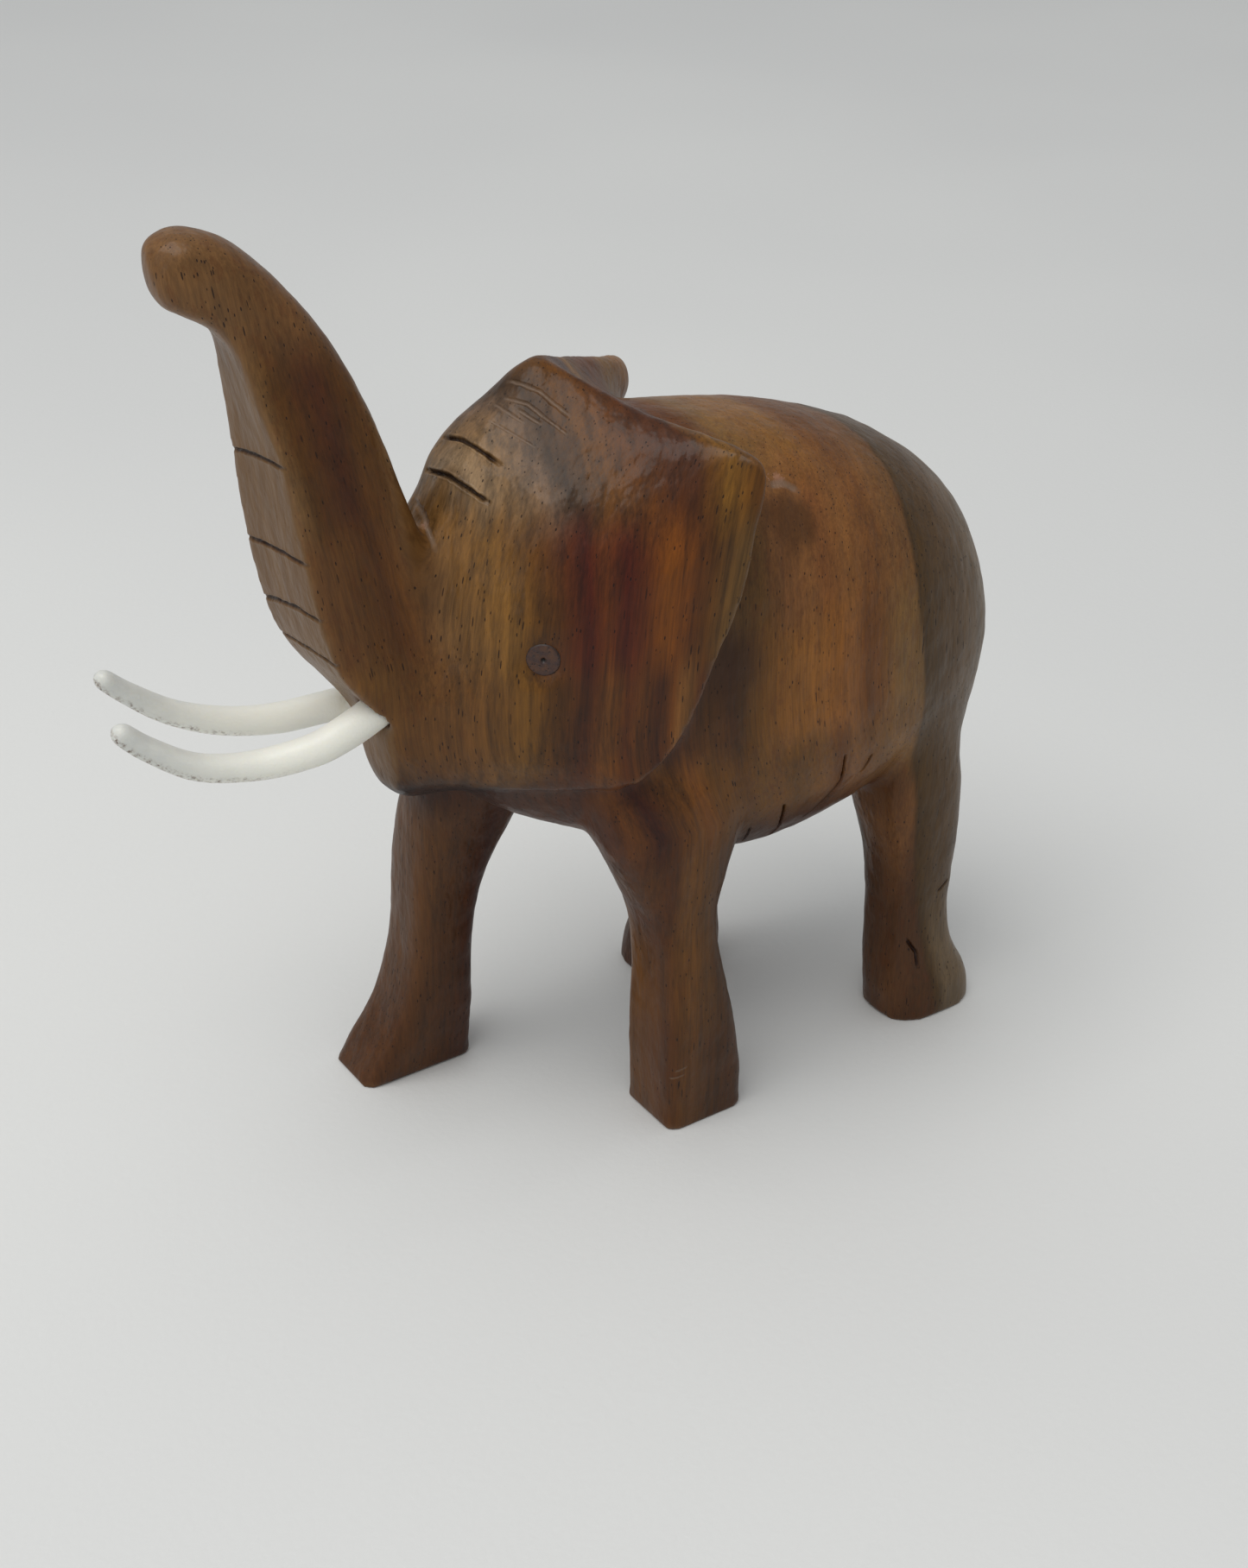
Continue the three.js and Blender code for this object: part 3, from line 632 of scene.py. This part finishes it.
class Graph:
    """Short calls for one material's node tree. Numbers and sockets mix freely."""

    def __init__(self, name):
        self.material = bpy.data.materials.new(name)
        self.material.use_nodes = True
        self.tree = self.material.node_tree
        self.tree.nodes.clear()

    def node(self, kind, **values):
        n = self.tree.nodes.new(kind)
        for key, value in values.items():
            setattr(n, key, value)
        return n

    def feed(self, socket, value):
        if isinstance(value, bpy.types.NodeSocket):
            self.tree.links.new(value, socket)
        else:
            socket.default_value = value

    def math(self, operation, a, b, clamp=False):
        n = self.node("ShaderNodeMath", operation=operation, use_clamp=clamp)
        for socket, value in zip(n.inputs, (a, b)):
            self.feed(socket, value)
        return n.outputs[0]

    def add(self, a, b):
        return self.math("ADD", a, b)

    def sub(self, a, b):
        return self.math("SUBTRACT", a, b)

    def mul(self, a, b):
        return self.math("MULTIPLY", a, b)

    def step(self, value, low, high, to_low=0.0, to_high=1.0):
        n = self.node("ShaderNodeMapRange", interpolation_type="SMOOTHSTEP")
        for key, v in (("Value", value), ("From Min", low), ("From Max", high),
                       ("To Min", to_low), ("To Max", to_high)):
            self.feed(n.inputs[key], v)
        return n.outputs["Result"]

    def vector(self, x, y, z):
        n = self.node("ShaderNodeCombineXYZ")
        for socket, value in zip(n.inputs, (x, y, z)):
            self.feed(socket, value)
        return n.outputs[0]

    def scaled(self, place, x, y, z):
        """The place with each coordinate scaled by its own number."""
        return self.vector(*(self.mul(socket, number) for socket, number in zip(place, (x, y, z))))

    def noise(self, vector, scale=1.0, detail=2.0, roughness=0.5):
        n = self.node("ShaderNodeTexNoise", noise_dimensions="3D")
        self.feed(n.inputs["Vector"], vector)
        self.feed(n.inputs["Scale"], scale)
        self.feed(n.inputs["Detail"], detail)
        self.feed(n.inputs["Roughness"], roughness)
        return n.outputs["Fac"]

    def cells(self, vector, scale=1.0):
        """Distance to the nearest of many scattered points, and that point's random number."""
        n = self.node("ShaderNodeTexVoronoi", voronoi_dimensions="3D", feature="F1")
        self.feed(n.inputs["Vector"], vector)
        self.feed(n.inputs["Scale"], scale)
        split = self.node("ShaderNodeSeparateColor")
        self.feed(split.inputs[0], n.outputs["Color"])
        return n.outputs["Distance"], split.outputs

    def distance(self, vector, centre):
        n = self.node("ShaderNodeVectorMath", operation="DISTANCE")
        self.feed(n.inputs[0], vector)
        n.inputs[1].default_value = centre
        return n.outputs["Value"]

    def ramp(self, value, stops, low, high, push=1.0):
        """A colour ramp over low to high, from (place, sRGB) stops, with more or less contrast."""
        n = self.node("ShaderNodeValToRGB")
        self.feed(n.inputs[0], self.math("DIVIDE", self.sub(value, low), high - low, clamp=True))
        elements = n.color_ramp.elements
        while len(elements) < len(stops):
            elements.new(0.5)
        for element, (at, _) in zip(elements, stops):
            element.position = (at - low) / (high - low)
        for element, (_, rgb) in zip(elements, stops):
            pushed = [m + push * (v - m) for v, m in zip(rgb, MEAN_WOOD)]
            element.color = wood_colour(pushed)
        return n.outputs["Color"]

    def mix(self, factor, a, b, blend="MIX"):
        n = self.node("ShaderNodeMix", data_type="RGBA", blend_type=blend)
        self.feed(n.inputs[0], factor)
        self.feed(n.inputs[6], a)
        self.feed(n.inputs[7], b)
        return n.outputs[2]

    def attribute(self, name):
        return self.node("ShaderNodeAttribute", attribute_name=name).outputs["Fac"]

    def bump(self, height, distance, normal=None):
        n = self.node("ShaderNodeBump")
        self.feed(n.inputs["Height"], height)
        n.inputs["Strength"].default_value = 1.0
        n.inputs["Distance"].default_value = distance
        if normal is not None:
            self.feed(n.inputs["Normal"], normal)
        return n.outputs["Normal"]

    def drawing(self):
        """Drawing millimetres as x, y, z sockets, from the piece's own coordinates."""
        place = self.node("ShaderNodeTexCoord").outputs["Object"]
        n = self.node("ShaderNodeVectorMath", operation="MULTIPLY_ADD")
        self.feed(n.inputs[0], place)
        n.inputs[1].default_value = (1 / MM,) * 3
        n.inputs[2].default_value = tuple(-SHIFT)
        split = self.node("ShaderNodeSeparateXYZ")
        self.feed(split.inputs[0], n.outputs[0])
        return split.outputs

    def principled(self, **values):
        shader = self.node("ShaderNodeBsdfPrincipled")
        out = self.node("ShaderNodeOutputMaterial")
        self.tree.links.new(shader.outputs[0], out.inputs["Surface"])
        for key, value in values.items():
            self.feed(shader.inputs[key.replace("_", " ")], value)
        return shader


# ---- wood -------------------------------------------------------------------------------------------

WOOD_GAIN = 1.42
WOOD_HAZE = (0.012, 0.013, 0.0152)  # the pale surroundings reflect a little bluish
STREAK_CONTRAST = 1.3        # how far the ring colours are pushed from their mean
MEAN_WOOD = (84, 58, 38)

# Colours across the growth rings at five heights, from the trunk's side to the sapwood over the rump.
# Each stop is a ring coordinate in mm, bowed like the grain, and a colour as seen on the polished wood.
LEG_STOPS = [
    (-41, (76, 52, 37)), (-37, (78, 54, 38)), (-33, (72, 49, 34)), (-29, (63, 42, 30)),
    (-25, (72, 49, 35)), (-22.5, (70, 47, 33)), (-20.5, (88, 60, 38)), (-18.5, (85, 58, 37)),
    (-16.5, (76, 54, 38)), (-14, (70, 50, 37)), (-11, (66, 47, 35)), (2, (62, 43, 31)),
    (14, (74, 51, 37)), (19, (82, 56, 39)), (21, (96, 66, 44)), (23, (74, 52, 39)),
    (27, (70, 49, 36)),
]
BELLY_STOPS = [
    (-38, (48, 32, 21)), (-35, (62, 43, 30)), (-32, (68, 46, 32)), (-29, (66, 44, 30)),
    (-26.8, (82, 53, 33)), (-24.6, (60, 40, 28)), (-22, (77, 51, 32)), (-19, (88, 58, 35)),
    (-17, (96, 62, 38)), (-14.5, (84, 57, 34)), (-11.5, (82, 56, 35)), (-9, (82, 56, 36)),
    (-7.4, (88, 61, 37)), (-5, (92, 63, 39)), (-2, (85, 59, 36)), (2, (95, 65, 39)),
    (5, (82, 54, 35)), (7, (99, 67, 41)), (10, (90, 61, 38)), (14, (95, 67, 41)), (18, (98, 70, 43)),
    (20, (90, 65, 41)),
]
CHEEK_STOPS = [
    (-53, (90, 63, 41)), (-48, (90, 63, 39)), (-45, (82, 57, 38)), (-41.5, (83, 58, 39)),
    (-38.5, (87, 61, 39)), (-36.8, (86, 61, 38)), (-34.8, (75, 52, 34)), (-33, (73, 49, 33)),
    (-31.2, (67, 44, 30)), (-30.3, (77, 50, 33)), (-29.3, (92, 60, 38)), (-28.3, (83, 54, 34)),
    (-27.2, (74, 47, 30)), (-25.8, (80, 52, 35)), (-23.8, (66, 44, 31)), (-22.3, (84, 54, 36)),
    (-21.4, (98, 67, 42)), (-20.4, (86, 60, 40)), (-19.3, (72, 47, 32)), (-14, (74, 51, 36)),
    (-11, (68, 47, 33)), (-9, (77, 54, 36)), (-7, (90, 62, 38)), (-4.5, (98, 66, 39)),
    (0, (107, 72, 42)), (5, (105, 69, 40)), (7.2, (105, 70, 43)), (9.5, (89, 58, 37)),
    (12, (90, 60, 39)), (16, (98, 72, 46)), (20, (92, 68, 44)),
]
EAR_STOPS = [
    (-55, (94, 69, 47)), (-52, (86, 60, 41)), (-47, (80, 55, 37)), (-44, (74, 50, 33)),
    (-42, (86, 58, 38)), (-40, (95, 69, 46)), (-37.5, (97, 69, 41)), (-35.6, (80, 55, 35)),
    (-33.4, (72, 46, 29)), (-31.4, (69, 41, 25)), (-30, (82, 50, 31)), (-28.1, (70, 41, 25)),
    (-26.2, (77, 47, 29)), (-24.8, (89, 55, 31)), (-23.7, (99, 61, 32)), (-22.6, (90, 56, 32)),
    (-21, (79, 51, 34)), (-19.5, (76, 52, 35)), (-17, (84, 62, 41)), (-14.5, (84, 61, 41)),
    (-10, (80, 58, 39)), (-7, (82, 59, 39)), (-5, (88, 61, 41)), (-3, (97, 66, 44)),
    (1, (103, 70, 45)), (3, (99, 65, 42)), (7, (101, 69, 44)), (11, (94, 63, 41)),
    (15, (96, 67, 44)), (18, (90, 64, 43)),
]
# On the crown the pale stops between -39.5 and -33 are a painted sheen of the polish catching the light.
CROWN_STOPS = [
    (-57.4, (92, 67, 46)), (-52.4, (94, 70, 48)), (-50, (76, 53, 36)), (-45.4, (68, 45, 32)),
    (-42.4, (77, 53, 36)), (-40.6, (80, 56, 38)), (-39.5, (92, 68, 48)), (-37.4, (108, 87, 66)),
    (-35.5, (99, 76, 54)), (-33, (88, 68, 53)), (-31.4, (64, 48, 37)), (-30.4, (70, 51, 38)),
    (-29.1, (80, 55, 36)), (-27.5, (82, 55, 35)), (-25.5, (78, 51, 31)), (-23.5, (70, 46, 29)),
    (-21.5, (67, 45, 29)), (-20.2, (82, 56, 34)), (-19, (98, 69, 39)), (-17.3, (82, 56, 33)),
    (-14, (76, 49, 30)), (-9, (82, 53, 34)), (-5, (97, 71, 45)), (0, (103, 72, 43)),
    (5, (103, 72, 42)), (8, (91, 60, 37)), (11, (86, 58, 38)), (15, (82, 56, 39)),
]
SAP_STOPS = [  # by depth into the sapwood
    (-1, (60, 45, 31)), (1, (67, 52, 38)), (4, (71, 56, 43)), (8, (77, 62, 49)), (12, (84, 69, 55)),
    (17, (93, 79, 64)),
]
RING_LOW, RING_HIGH = -65, 40
RING_SKEW = 0.23              # how far the rings fall back for each mm to the left
BOW_HEIGHT = 70.0             # where the rings reach furthest forwards
HEAD_BOW, LEG_BOW = 0.0045, 0.01  # how fast they fall back above and below it
LEG_BOW_REACH = 21.0          # this far below it they run straight again
LEAN_HEIGHT, TRUNK_LEAN = 75.0, -0.17
LAYER_WANDER = 5.0            # how unevenly one height's colours give way to the next
SAP_EDGE, SAP_EDGE_HEIGHT = 18.9, 74.0  # where the sapwood reaches furthest forwards
SAP_EDGE_BELOW, SAP_EDGE_ABOVE = 0.19, 0.0085  # how fast its edge falls back


def wood_material():
    g = Graph("streaked_wood")
    x, y, z = g.drawing()

    # Growth rings run nearly square to the body. They fall back above and below the head's middle, and
    # lean forwards up the trunk.
    high = g.math("MAXIMUM", g.sub(z, BOW_HEIGHT), 0.0)
    low = g.math("MINIMUM", g.math("MAXIMUM", g.sub(BOW_HEIGHT, z), 0.0), LEG_BOW_REACH)
    head = g.step(g.add(x, g.mul(y, RING_SKEW)), 44, 38)
    bow = g.mul(g.mul(g.mul(high, high), HEAD_BOW), head)
    up_trunk = g.math("MAXIMUM", g.sub(z, LEAN_HEIGHT), 0.0)
    lean = g.mul(g.mul(up_trunk, TRUNK_LEAN), g.sub(1.0, head))
    straight_x = x
    x = g.add(x, g.add(g.add(bow, lean), g.mul(g.mul(low, low), LEG_BOW)))
    place = (x, y, z)
    slow = g.noise(g.scaled(place, 0.08, 0.08, 0.03), detail=1.0)
    quick = g.noise(g.scaled(place, 0.45, 0.45, 0.05), detail=3.0)
    s = g.sub(g.mul(x, -1.0), g.mul(y, RING_SKEW))
    s = g.add(s, g.sub(slow, 0.5))
    s = g.add(s, g.mul(g.sub(quick, 0.5), 0.9))
    colour = g.ramp(s, LEG_STOPS, RING_LOW, RING_HIGH, STREAK_CONTRAST)
    ragged_z = g.add(z, g.mul(g.sub(quick, 0.5), LAYER_WANDER))
    for stops, start, end in (
        (BELLY_STOPS, 42, 50), (CHEEK_STOPS, 56, 62), (EAR_STOPS, 73, 80), (CROWN_STOPS, 91, 98),
    ):
        layer = g.ramp(s, stops, RING_LOW, RING_HIGH, STREAK_CONTRAST)
        colour = g.mix(g.step(ragged_z, start, end), colour, layer)

    # The tip of the trunk faces up and is painted paler: a painted highlight from the light above.
    tip = g.mul(g.step(z, 112, 121), g.step(straight_x, 46, 52))
    colour = g.mix(g.mul(tip, 0.8), colour, wood_colour((96, 70, 48)))

    # Sapwood over the rump, with a sharp dark edge that bows forwards at mid height.
    above = g.math("MAXIMUM", g.sub(z, SAP_EDGE_HEIGHT), 0.0)
    below = g.math("MAXIMUM", g.sub(SAP_EDGE_HEIGHT, z), 0.0)
    bowed_edge = g.add(g.mul(below, SAP_EDGE_BELOW), g.mul(g.mul(above, above), SAP_EDGE_ABOVE))
    edge_at = g.add(bowed_edge, SAP_EDGE)
    unbent = g.sub(s, g.sub(straight_x, x))
    depth = g.sub(unbent, edge_at)
    sap = g.ramp(depth, SAP_STOPS, -1, 18)
    colour = g.mix(g.step(depth, -0.5, 0.6), colour, sap)

    # The front feet are darker towards the floor, the heel's sapwood paler.
    foot = g.mul(g.step(z, 24, 12), g.step(straight_x, -12, -4))
    colour = g.mix(g.mul(foot, 0.35), colour, wood_colour((58, 40, 31)))
    heel = g.mul(g.step(z, 26, 10), g.step(depth, 0.5, 3.0))
    colour = g.mix(g.mul(heel, 0.6), colour, wood_colour((98, 84, 67)))

    # Fine fibres, broader streaks, figure.
    fibre = g.noise(g.scaled(place, 3.6, 3.6, 0.16), detail=3.0, roughness=0.65)
    streak = g.noise(g.scaled(place, 1.1, 0.5, 0.025), detail=4.0, roughness=0.6)
    figure = g.noise(g.scaled(place, 0.2, 0.2, 0.14), detail=3.0)
    lined = g.mul(g.step(s, -8, -13, 0.4, 1.0), g.step(z, 48, 58, 0.6, 1.0))
    lined = g.mul(lined, g.add(g.mul(head, 0.6), 0.4))
    streaked = g.mul(lined, g.step(streak, 0.32, 0.66, -0.34, 0.24))
    tone = g.add(g.step(fibre, 0.3, 0.7, 0.82, 1.16), streaked)
    tone = g.add(tone, g.step(figure, 0.2, 0.8, -0.12, 0.12))
    grey = g.node("ShaderNodeCombineColor")
    for socket in grey.inputs:
        g.feed(socket, tone)
    grained = g.mix(1.0, colour, grey.outputs[0], "MULTIPLY")

    # Small ruddy blotches where the grain is plainer.
    blotch = g.noise(g.scaled(place, 0.75, 0.75, 0.34), detail=5.0, roughness=0.72)
    ruddy = g.mul(g.step(blotch, 0.5, 0.64), g.sub(1.1, lined))
    ruddy = g.mul(g.mul(ruddy, 0.42), g.step(depth, 0.5, -0.5))
    grained = g.mix(ruddy, grained, wood_colour((76, 46, 28)))

    # Pores: short dark dashes along the grain, some of them long.
    near, random = g.cells(g.scaled(place, 2.2, 2.2, 0.7))
    size = g.step(random[0], 0.3, 1.0, -0.04, 0.17)
    pore = g.step(g.sub(near, size), 0.06, -0.02)
    long_near, long_random = g.cells(g.scaled(place, 2.4, 2.4, 0.26))
    long_size = g.step(long_random[1], 0.4, 1.0, -0.05, 0.2)
    long_pore = g.step(g.sub(long_near, long_size), 0.05, -0.02)
    patches = g.noise(g.vector(x, y, g.mul(z, 0.5)), scale=0.09, detail=1.0)
    pore = g.math("MAXIMUM", pore, g.mul(long_pore, g.step(patches, 0.35, 0.6, 0.3, 1.0)))
    grained = g.mix(g.mul(pore, 0.85), grained, wood_colour((33, 19, 12)))

    # The flat front faces were cut last and are nearly plain, without pores; their paler, greyer colour
    # is a painted reflection of the pale floor in front.
    front = g.attribute("front")
    plain = g.mix(g.step(streak, 0.3, 0.7), wood_colour((88, 66, 46)), wood_colour((96, 72, 48)))
    plain = g.mix(0.12, plain, grained)
    colour = g.mix(g.mul(front, g.step(z, 54, 66, 0.45, 1.0)), grained, plain)

    # A dark patch behind the left ear's corner, and another by its edge: partly dark knotty wood and
    # partly painted shade where the ear shades the neck and flank.
    squashed = g.vector(straight_x, y, g.mul(z, 0.8))
    for centre, radius, rgb, share in (
        ((-4.6, 17.0, 88.2), 5.6, (66, 46, 35), 0.7), ((7.2, 22.2, 73.0), 7.0, (55, 40, 32), 0.65),
    ):
        gap = g.distance(squashed, (centre[0], centre[1], centre[2] * 0.8))
        ragged = g.add(gap, g.mul(g.sub(quick, 0.5), 5.0))
        mark = g.step(ragged, radius, radius * 0.35)
        colour = g.mix(g.mul(mark, share), colour, wood_colour(rgb))

    # Freshly chipped wood shows pale at the rim of the dark patch behind the ear's corner and at the
    # fold above the trunk.
    unbent_place = g.vector(straight_x, y, z)
    for centre, radius in (
        ((-5.0, 14.2, 93.2), 1.1), ((-3.6, 14.3, 94.0), 0.7), ((37.8, -0.6, 91.2), 0.8),
    ):
        ragged = g.add(g.distance(unbent_place, centre), g.mul(g.sub(fibre, 0.5), 2.5))
        mark = g.step(ragged, radius, radius * 0.5)
        colour = g.mix(g.mul(mark, 0.7), colour, wood_colour((138, 102, 82)))

    # Cut grooves are painted dark and scratches show pale; raised edges are painted paler, partly rubbed
    # wear and partly painted highlight, and hollows are darkened with painted shade.
    cut = g.attribute("cut")
    colour = g.mix(g.mul(cut, 0.85), colour, wood_colour((36, 23, 18)))
    colour = g.mix(g.mul(g.attribute("scratch"), 0.62), colour, wood_colour((108, 92, 80)))
    edge = g.attribute("edge")
    colour = g.mix(g.step(edge, 0.5, 1.0, 0.0, 0.16), colour, wood_colour((122, 92, 66)))
    hollow = g.attribute("hollow")
    colour = g.mix(g.step(hollow, 0.12, 0.9, 0.0, 0.7), colour, wood_colour((44, 30, 22)))

    rough = g.add(g.step(fibre, 0.2, 0.8, 0.40, 0.52), g.mul(pore, 0.2))
    height = g.add(g.mul(fibre, 0.35), g.mul(g.mul(pore, g.sub(1.0, front)), -0.8))
    ripple = g.noise(g.scaled(place, 0.5, 0.5, 0.25), detail=2.0)
    broad = g.bump(ripple, 0.3 * MM)
    fine = g.bump(height, 0.06 * MM, broad)
    g.principled(
        Base_Color=colour, Roughness=rough, Normal=fine, Specular_IOR_Level=0.2,
        Coat_Weight=0.14, Coat_Roughness=0.17, Coat_Normal=broad,
    )
    return g.material


def tusk_material():
    g = Graph("tusk_plastic")
    x, y, z = g.drawing()
    along, under = g.attribute("along"), g.attribute("under")
    cloud = g.noise(g.vector(x, y, z), scale=0.45, detail=3.0)
    root = (0.86, 0.855, 0.775, 1)
    tip = (0.60, 0.61, 0.58, 1)
    colour = g.mix(g.step(along, 0.45, 1.0), root, tip)
    colour = g.mix(g.step(cloud, 0.35, 0.75, 0.0, 0.25), colour, (0.86, 0.85, 0.78, 1))
    # Grime: brown specks and a film along the underside towards the tip.
    specks = g.noise(g.vector(x, y, z), scale=1.5, detail=3.0, roughness=0.7)
    zone = g.mul(g.step(under, 0.1, 0.8), g.step(along, 0.42, 0.7))
    film = g.mul(zone, g.step(specks, 0.42, 0.62))
    colour = g.mix(g.mul(film, 0.6), colour, linear((125, 104, 88)))
    dots = g.mul(g.step(specks, 0.57, 0.63), zone)
    colour = g.mix(g.mul(dots, 0.85), colour, linear((88, 62, 48)))
    # Yellowed glue squeezed out where the tusk meets the wood.
    joint = g.mul(g.step(along, 0.30, 0.19), g.step(cloud, 0.4, 0.7))
    colour = g.mix(g.mul(joint, 0.5), colour, linear((200, 185, 140)))
    grain = g.noise(g.vector(x, y, z), scale=3.0, detail=3.0)
    rough = g.step(grain, 0.25, 0.75, 0.38, 0.52)
    g.principled(
        Base_Color=colour, Roughness=rough, Normal=g.bump(grain, 0.05 * MM),
        Subsurface_Weight=0.35, Subsurface_Radius=(1.0, 0.9, 0.7), Subsurface_Scale=1.6 * MM,
        IOR=1.5, Coat_Weight=0.15, Coat_Roughness=0.25,
    )
    return g.material


def eye_material():
    g = Graph("eye_wood")
    x, y, z = g.drawing()
    radial = g.attribute("radial")
    grain = g.noise(g.vector(x, y, z), scale=1.1, detail=4.0, roughness=0.65)
    colour = g.mix(g.step(grain, 0.3, 0.7), wood_colour((44, 29, 19)), wood_colour((68, 45, 28)))
    near, _ = g.cells(g.vector(x, y, z), scale=1.9)
    pore = g.step(near, 0.30, 0.16)
    colour = g.mix(g.mul(pore, 0.6), colour, wood_colour((36, 22, 16)))
    rim = g.step(radial, 0.78, 0.94)
    colour = g.mix(g.mul(rim, 0.85), colour, wood_colour((34, 22, 15)))
    pupil = g.step(radial, 0.16, 0.08)
    colour = g.mix(g.mul(pupil, 0.9), colour, wood_colour((16, 10, 8)))
    rough = g.step(grain, 0.2, 0.8, 0.46, 0.62)
    height = g.sub(grain, g.mul(pore, 0.8))
    g.principled(
        Base_Color=colour, Roughness=rough, Normal=g.bump(height, 0.08 * MM),
        Coat_Weight=0.25, Coat_Roughness=0.35,
    )
    return g.material


# ---- the pieces ---------------------------------------------------------------------------------------

wood = carved_wood()
wood.data.materials.clear()
wood.data.materials.append(wood_material())
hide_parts("carved_body")
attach(wood, "root")

plastic, dowel = tusk_material(), eye_material()
for label, side, seed in (("left", LEFT, 21), ("right", RIGHT, 22)):
    tusk("tusk_rod_" + label, "tusk_" + label, side, seed).data.materials.append(plastic)
    eye_plug("eye_dowel_" + label, "eye_" + label, side, seed + 10).data.materials.append(dowel)

# ---- floor, lights, camera ----------------------------------------------------------------------------

FLOOR_HALF = 3.0
CAMERA_LENS = 53.52
CAMERA_PLACE = (166.4, 229.1, 206.8)  # drawing mm
CAMERA_AHEAD = (-0.4916, -0.7126, -0.5)
CAMERA_RIGHT = (-0.8265, 0.5629, 0.012)


def floor():
    steps = 24
    verts = [(FLOOR_HALF * (2 * i / steps - 1), FLOOR_HALF * (2 * j / steps - 1), 0.0)
             for i in range(steps + 1) for j in range(steps + 1)]
    faces = []
    for i in range(steps):
        for j in range(steps):
            a = i * (steps + 1) + j
            faces.append((a, a + steps + 1, a + steps + 2, a + 1))
    ob = new_object("floor", mesh_from("floor", verts, faces))
    g = Graph("pale_floor")
    place = g.node("ShaderNodeTexCoord").outputs["Object"]
    fleck = g.noise(place, scale=900.0, detail=3.0)
    cloud = g.noise(place, scale=4.0, detail=2.0)
    colour = g.mix(g.step(cloud, 0.3, 0.7), (0.725, 0.73, 0.72, 1), (0.765, 0.77, 0.755, 1))
    rough = g.step(fleck, 0.3, 0.7, 0.62, 0.74)
    g.principled(Base_Color=colour, Roughness=rough, Normal=g.bump(fleck, 0.05 * MM))
    ob.data.materials.append(g.material)


def area_light(name, place, target, size, power, colour):
    data = bpy.data.lights.new(name, "AREA")
    data.shape = "RECTANGLE"
    data.size, data.size_y = size
    data.energy = power
    data.color = colour
    ob = new_object(name, data)
    ob.location = place
    ob.rotation_euler = (Vector(target) - Vector(place)).to_track_quat("-Z", "Y").to_euler()


def camera():
    data = bpy.data.cameras.new("camera")
    data.lens = CAMERA_LENS
    data.sensor_width = 36.0
    ob = new_object("camera", data)
    ahead = Vector(CAMERA_AHEAD).normalized()
    right = Vector(CAMERA_RIGHT)
    right = (right - ahead * right.dot(ahead)).normalized()
    up = right.cross(ahead)
    pose = Matrix((right, up, -ahead)).transposed().to_4x4()
    pose.translation = Vector(body_points(CAMERA_PLACE)[0])
    ob.matrix_world = pose
    bpy.context.scene.camera = ob


def world():
    w = bpy.data.worlds.new("studio")
    w.use_nodes = True
    background = w.node_tree.nodes["Background"]
    background.inputs["Color"].default_value = (0.97, 0.985, 1.0, 1)
    background.inputs["Strength"].default_value = 0.5
    bpy.context.scene.world = w


floor()
area_light("overhead", (0.42, 0.10, 1.0), (0, 0, 0.05), (0.8, 0.7), 6.3, (1.0, 0.99, 0.97))
area_light("window", (1.1, 0.05, 0.42), (0, 0, 0.06), (0.5, 0.6), 0.8, (0.97, 0.99, 1.0))
world()
camera()
bpy.context.scene.view_settings.view_transform = "Standard"
bpy.context.scene.view_settings.look = "None"
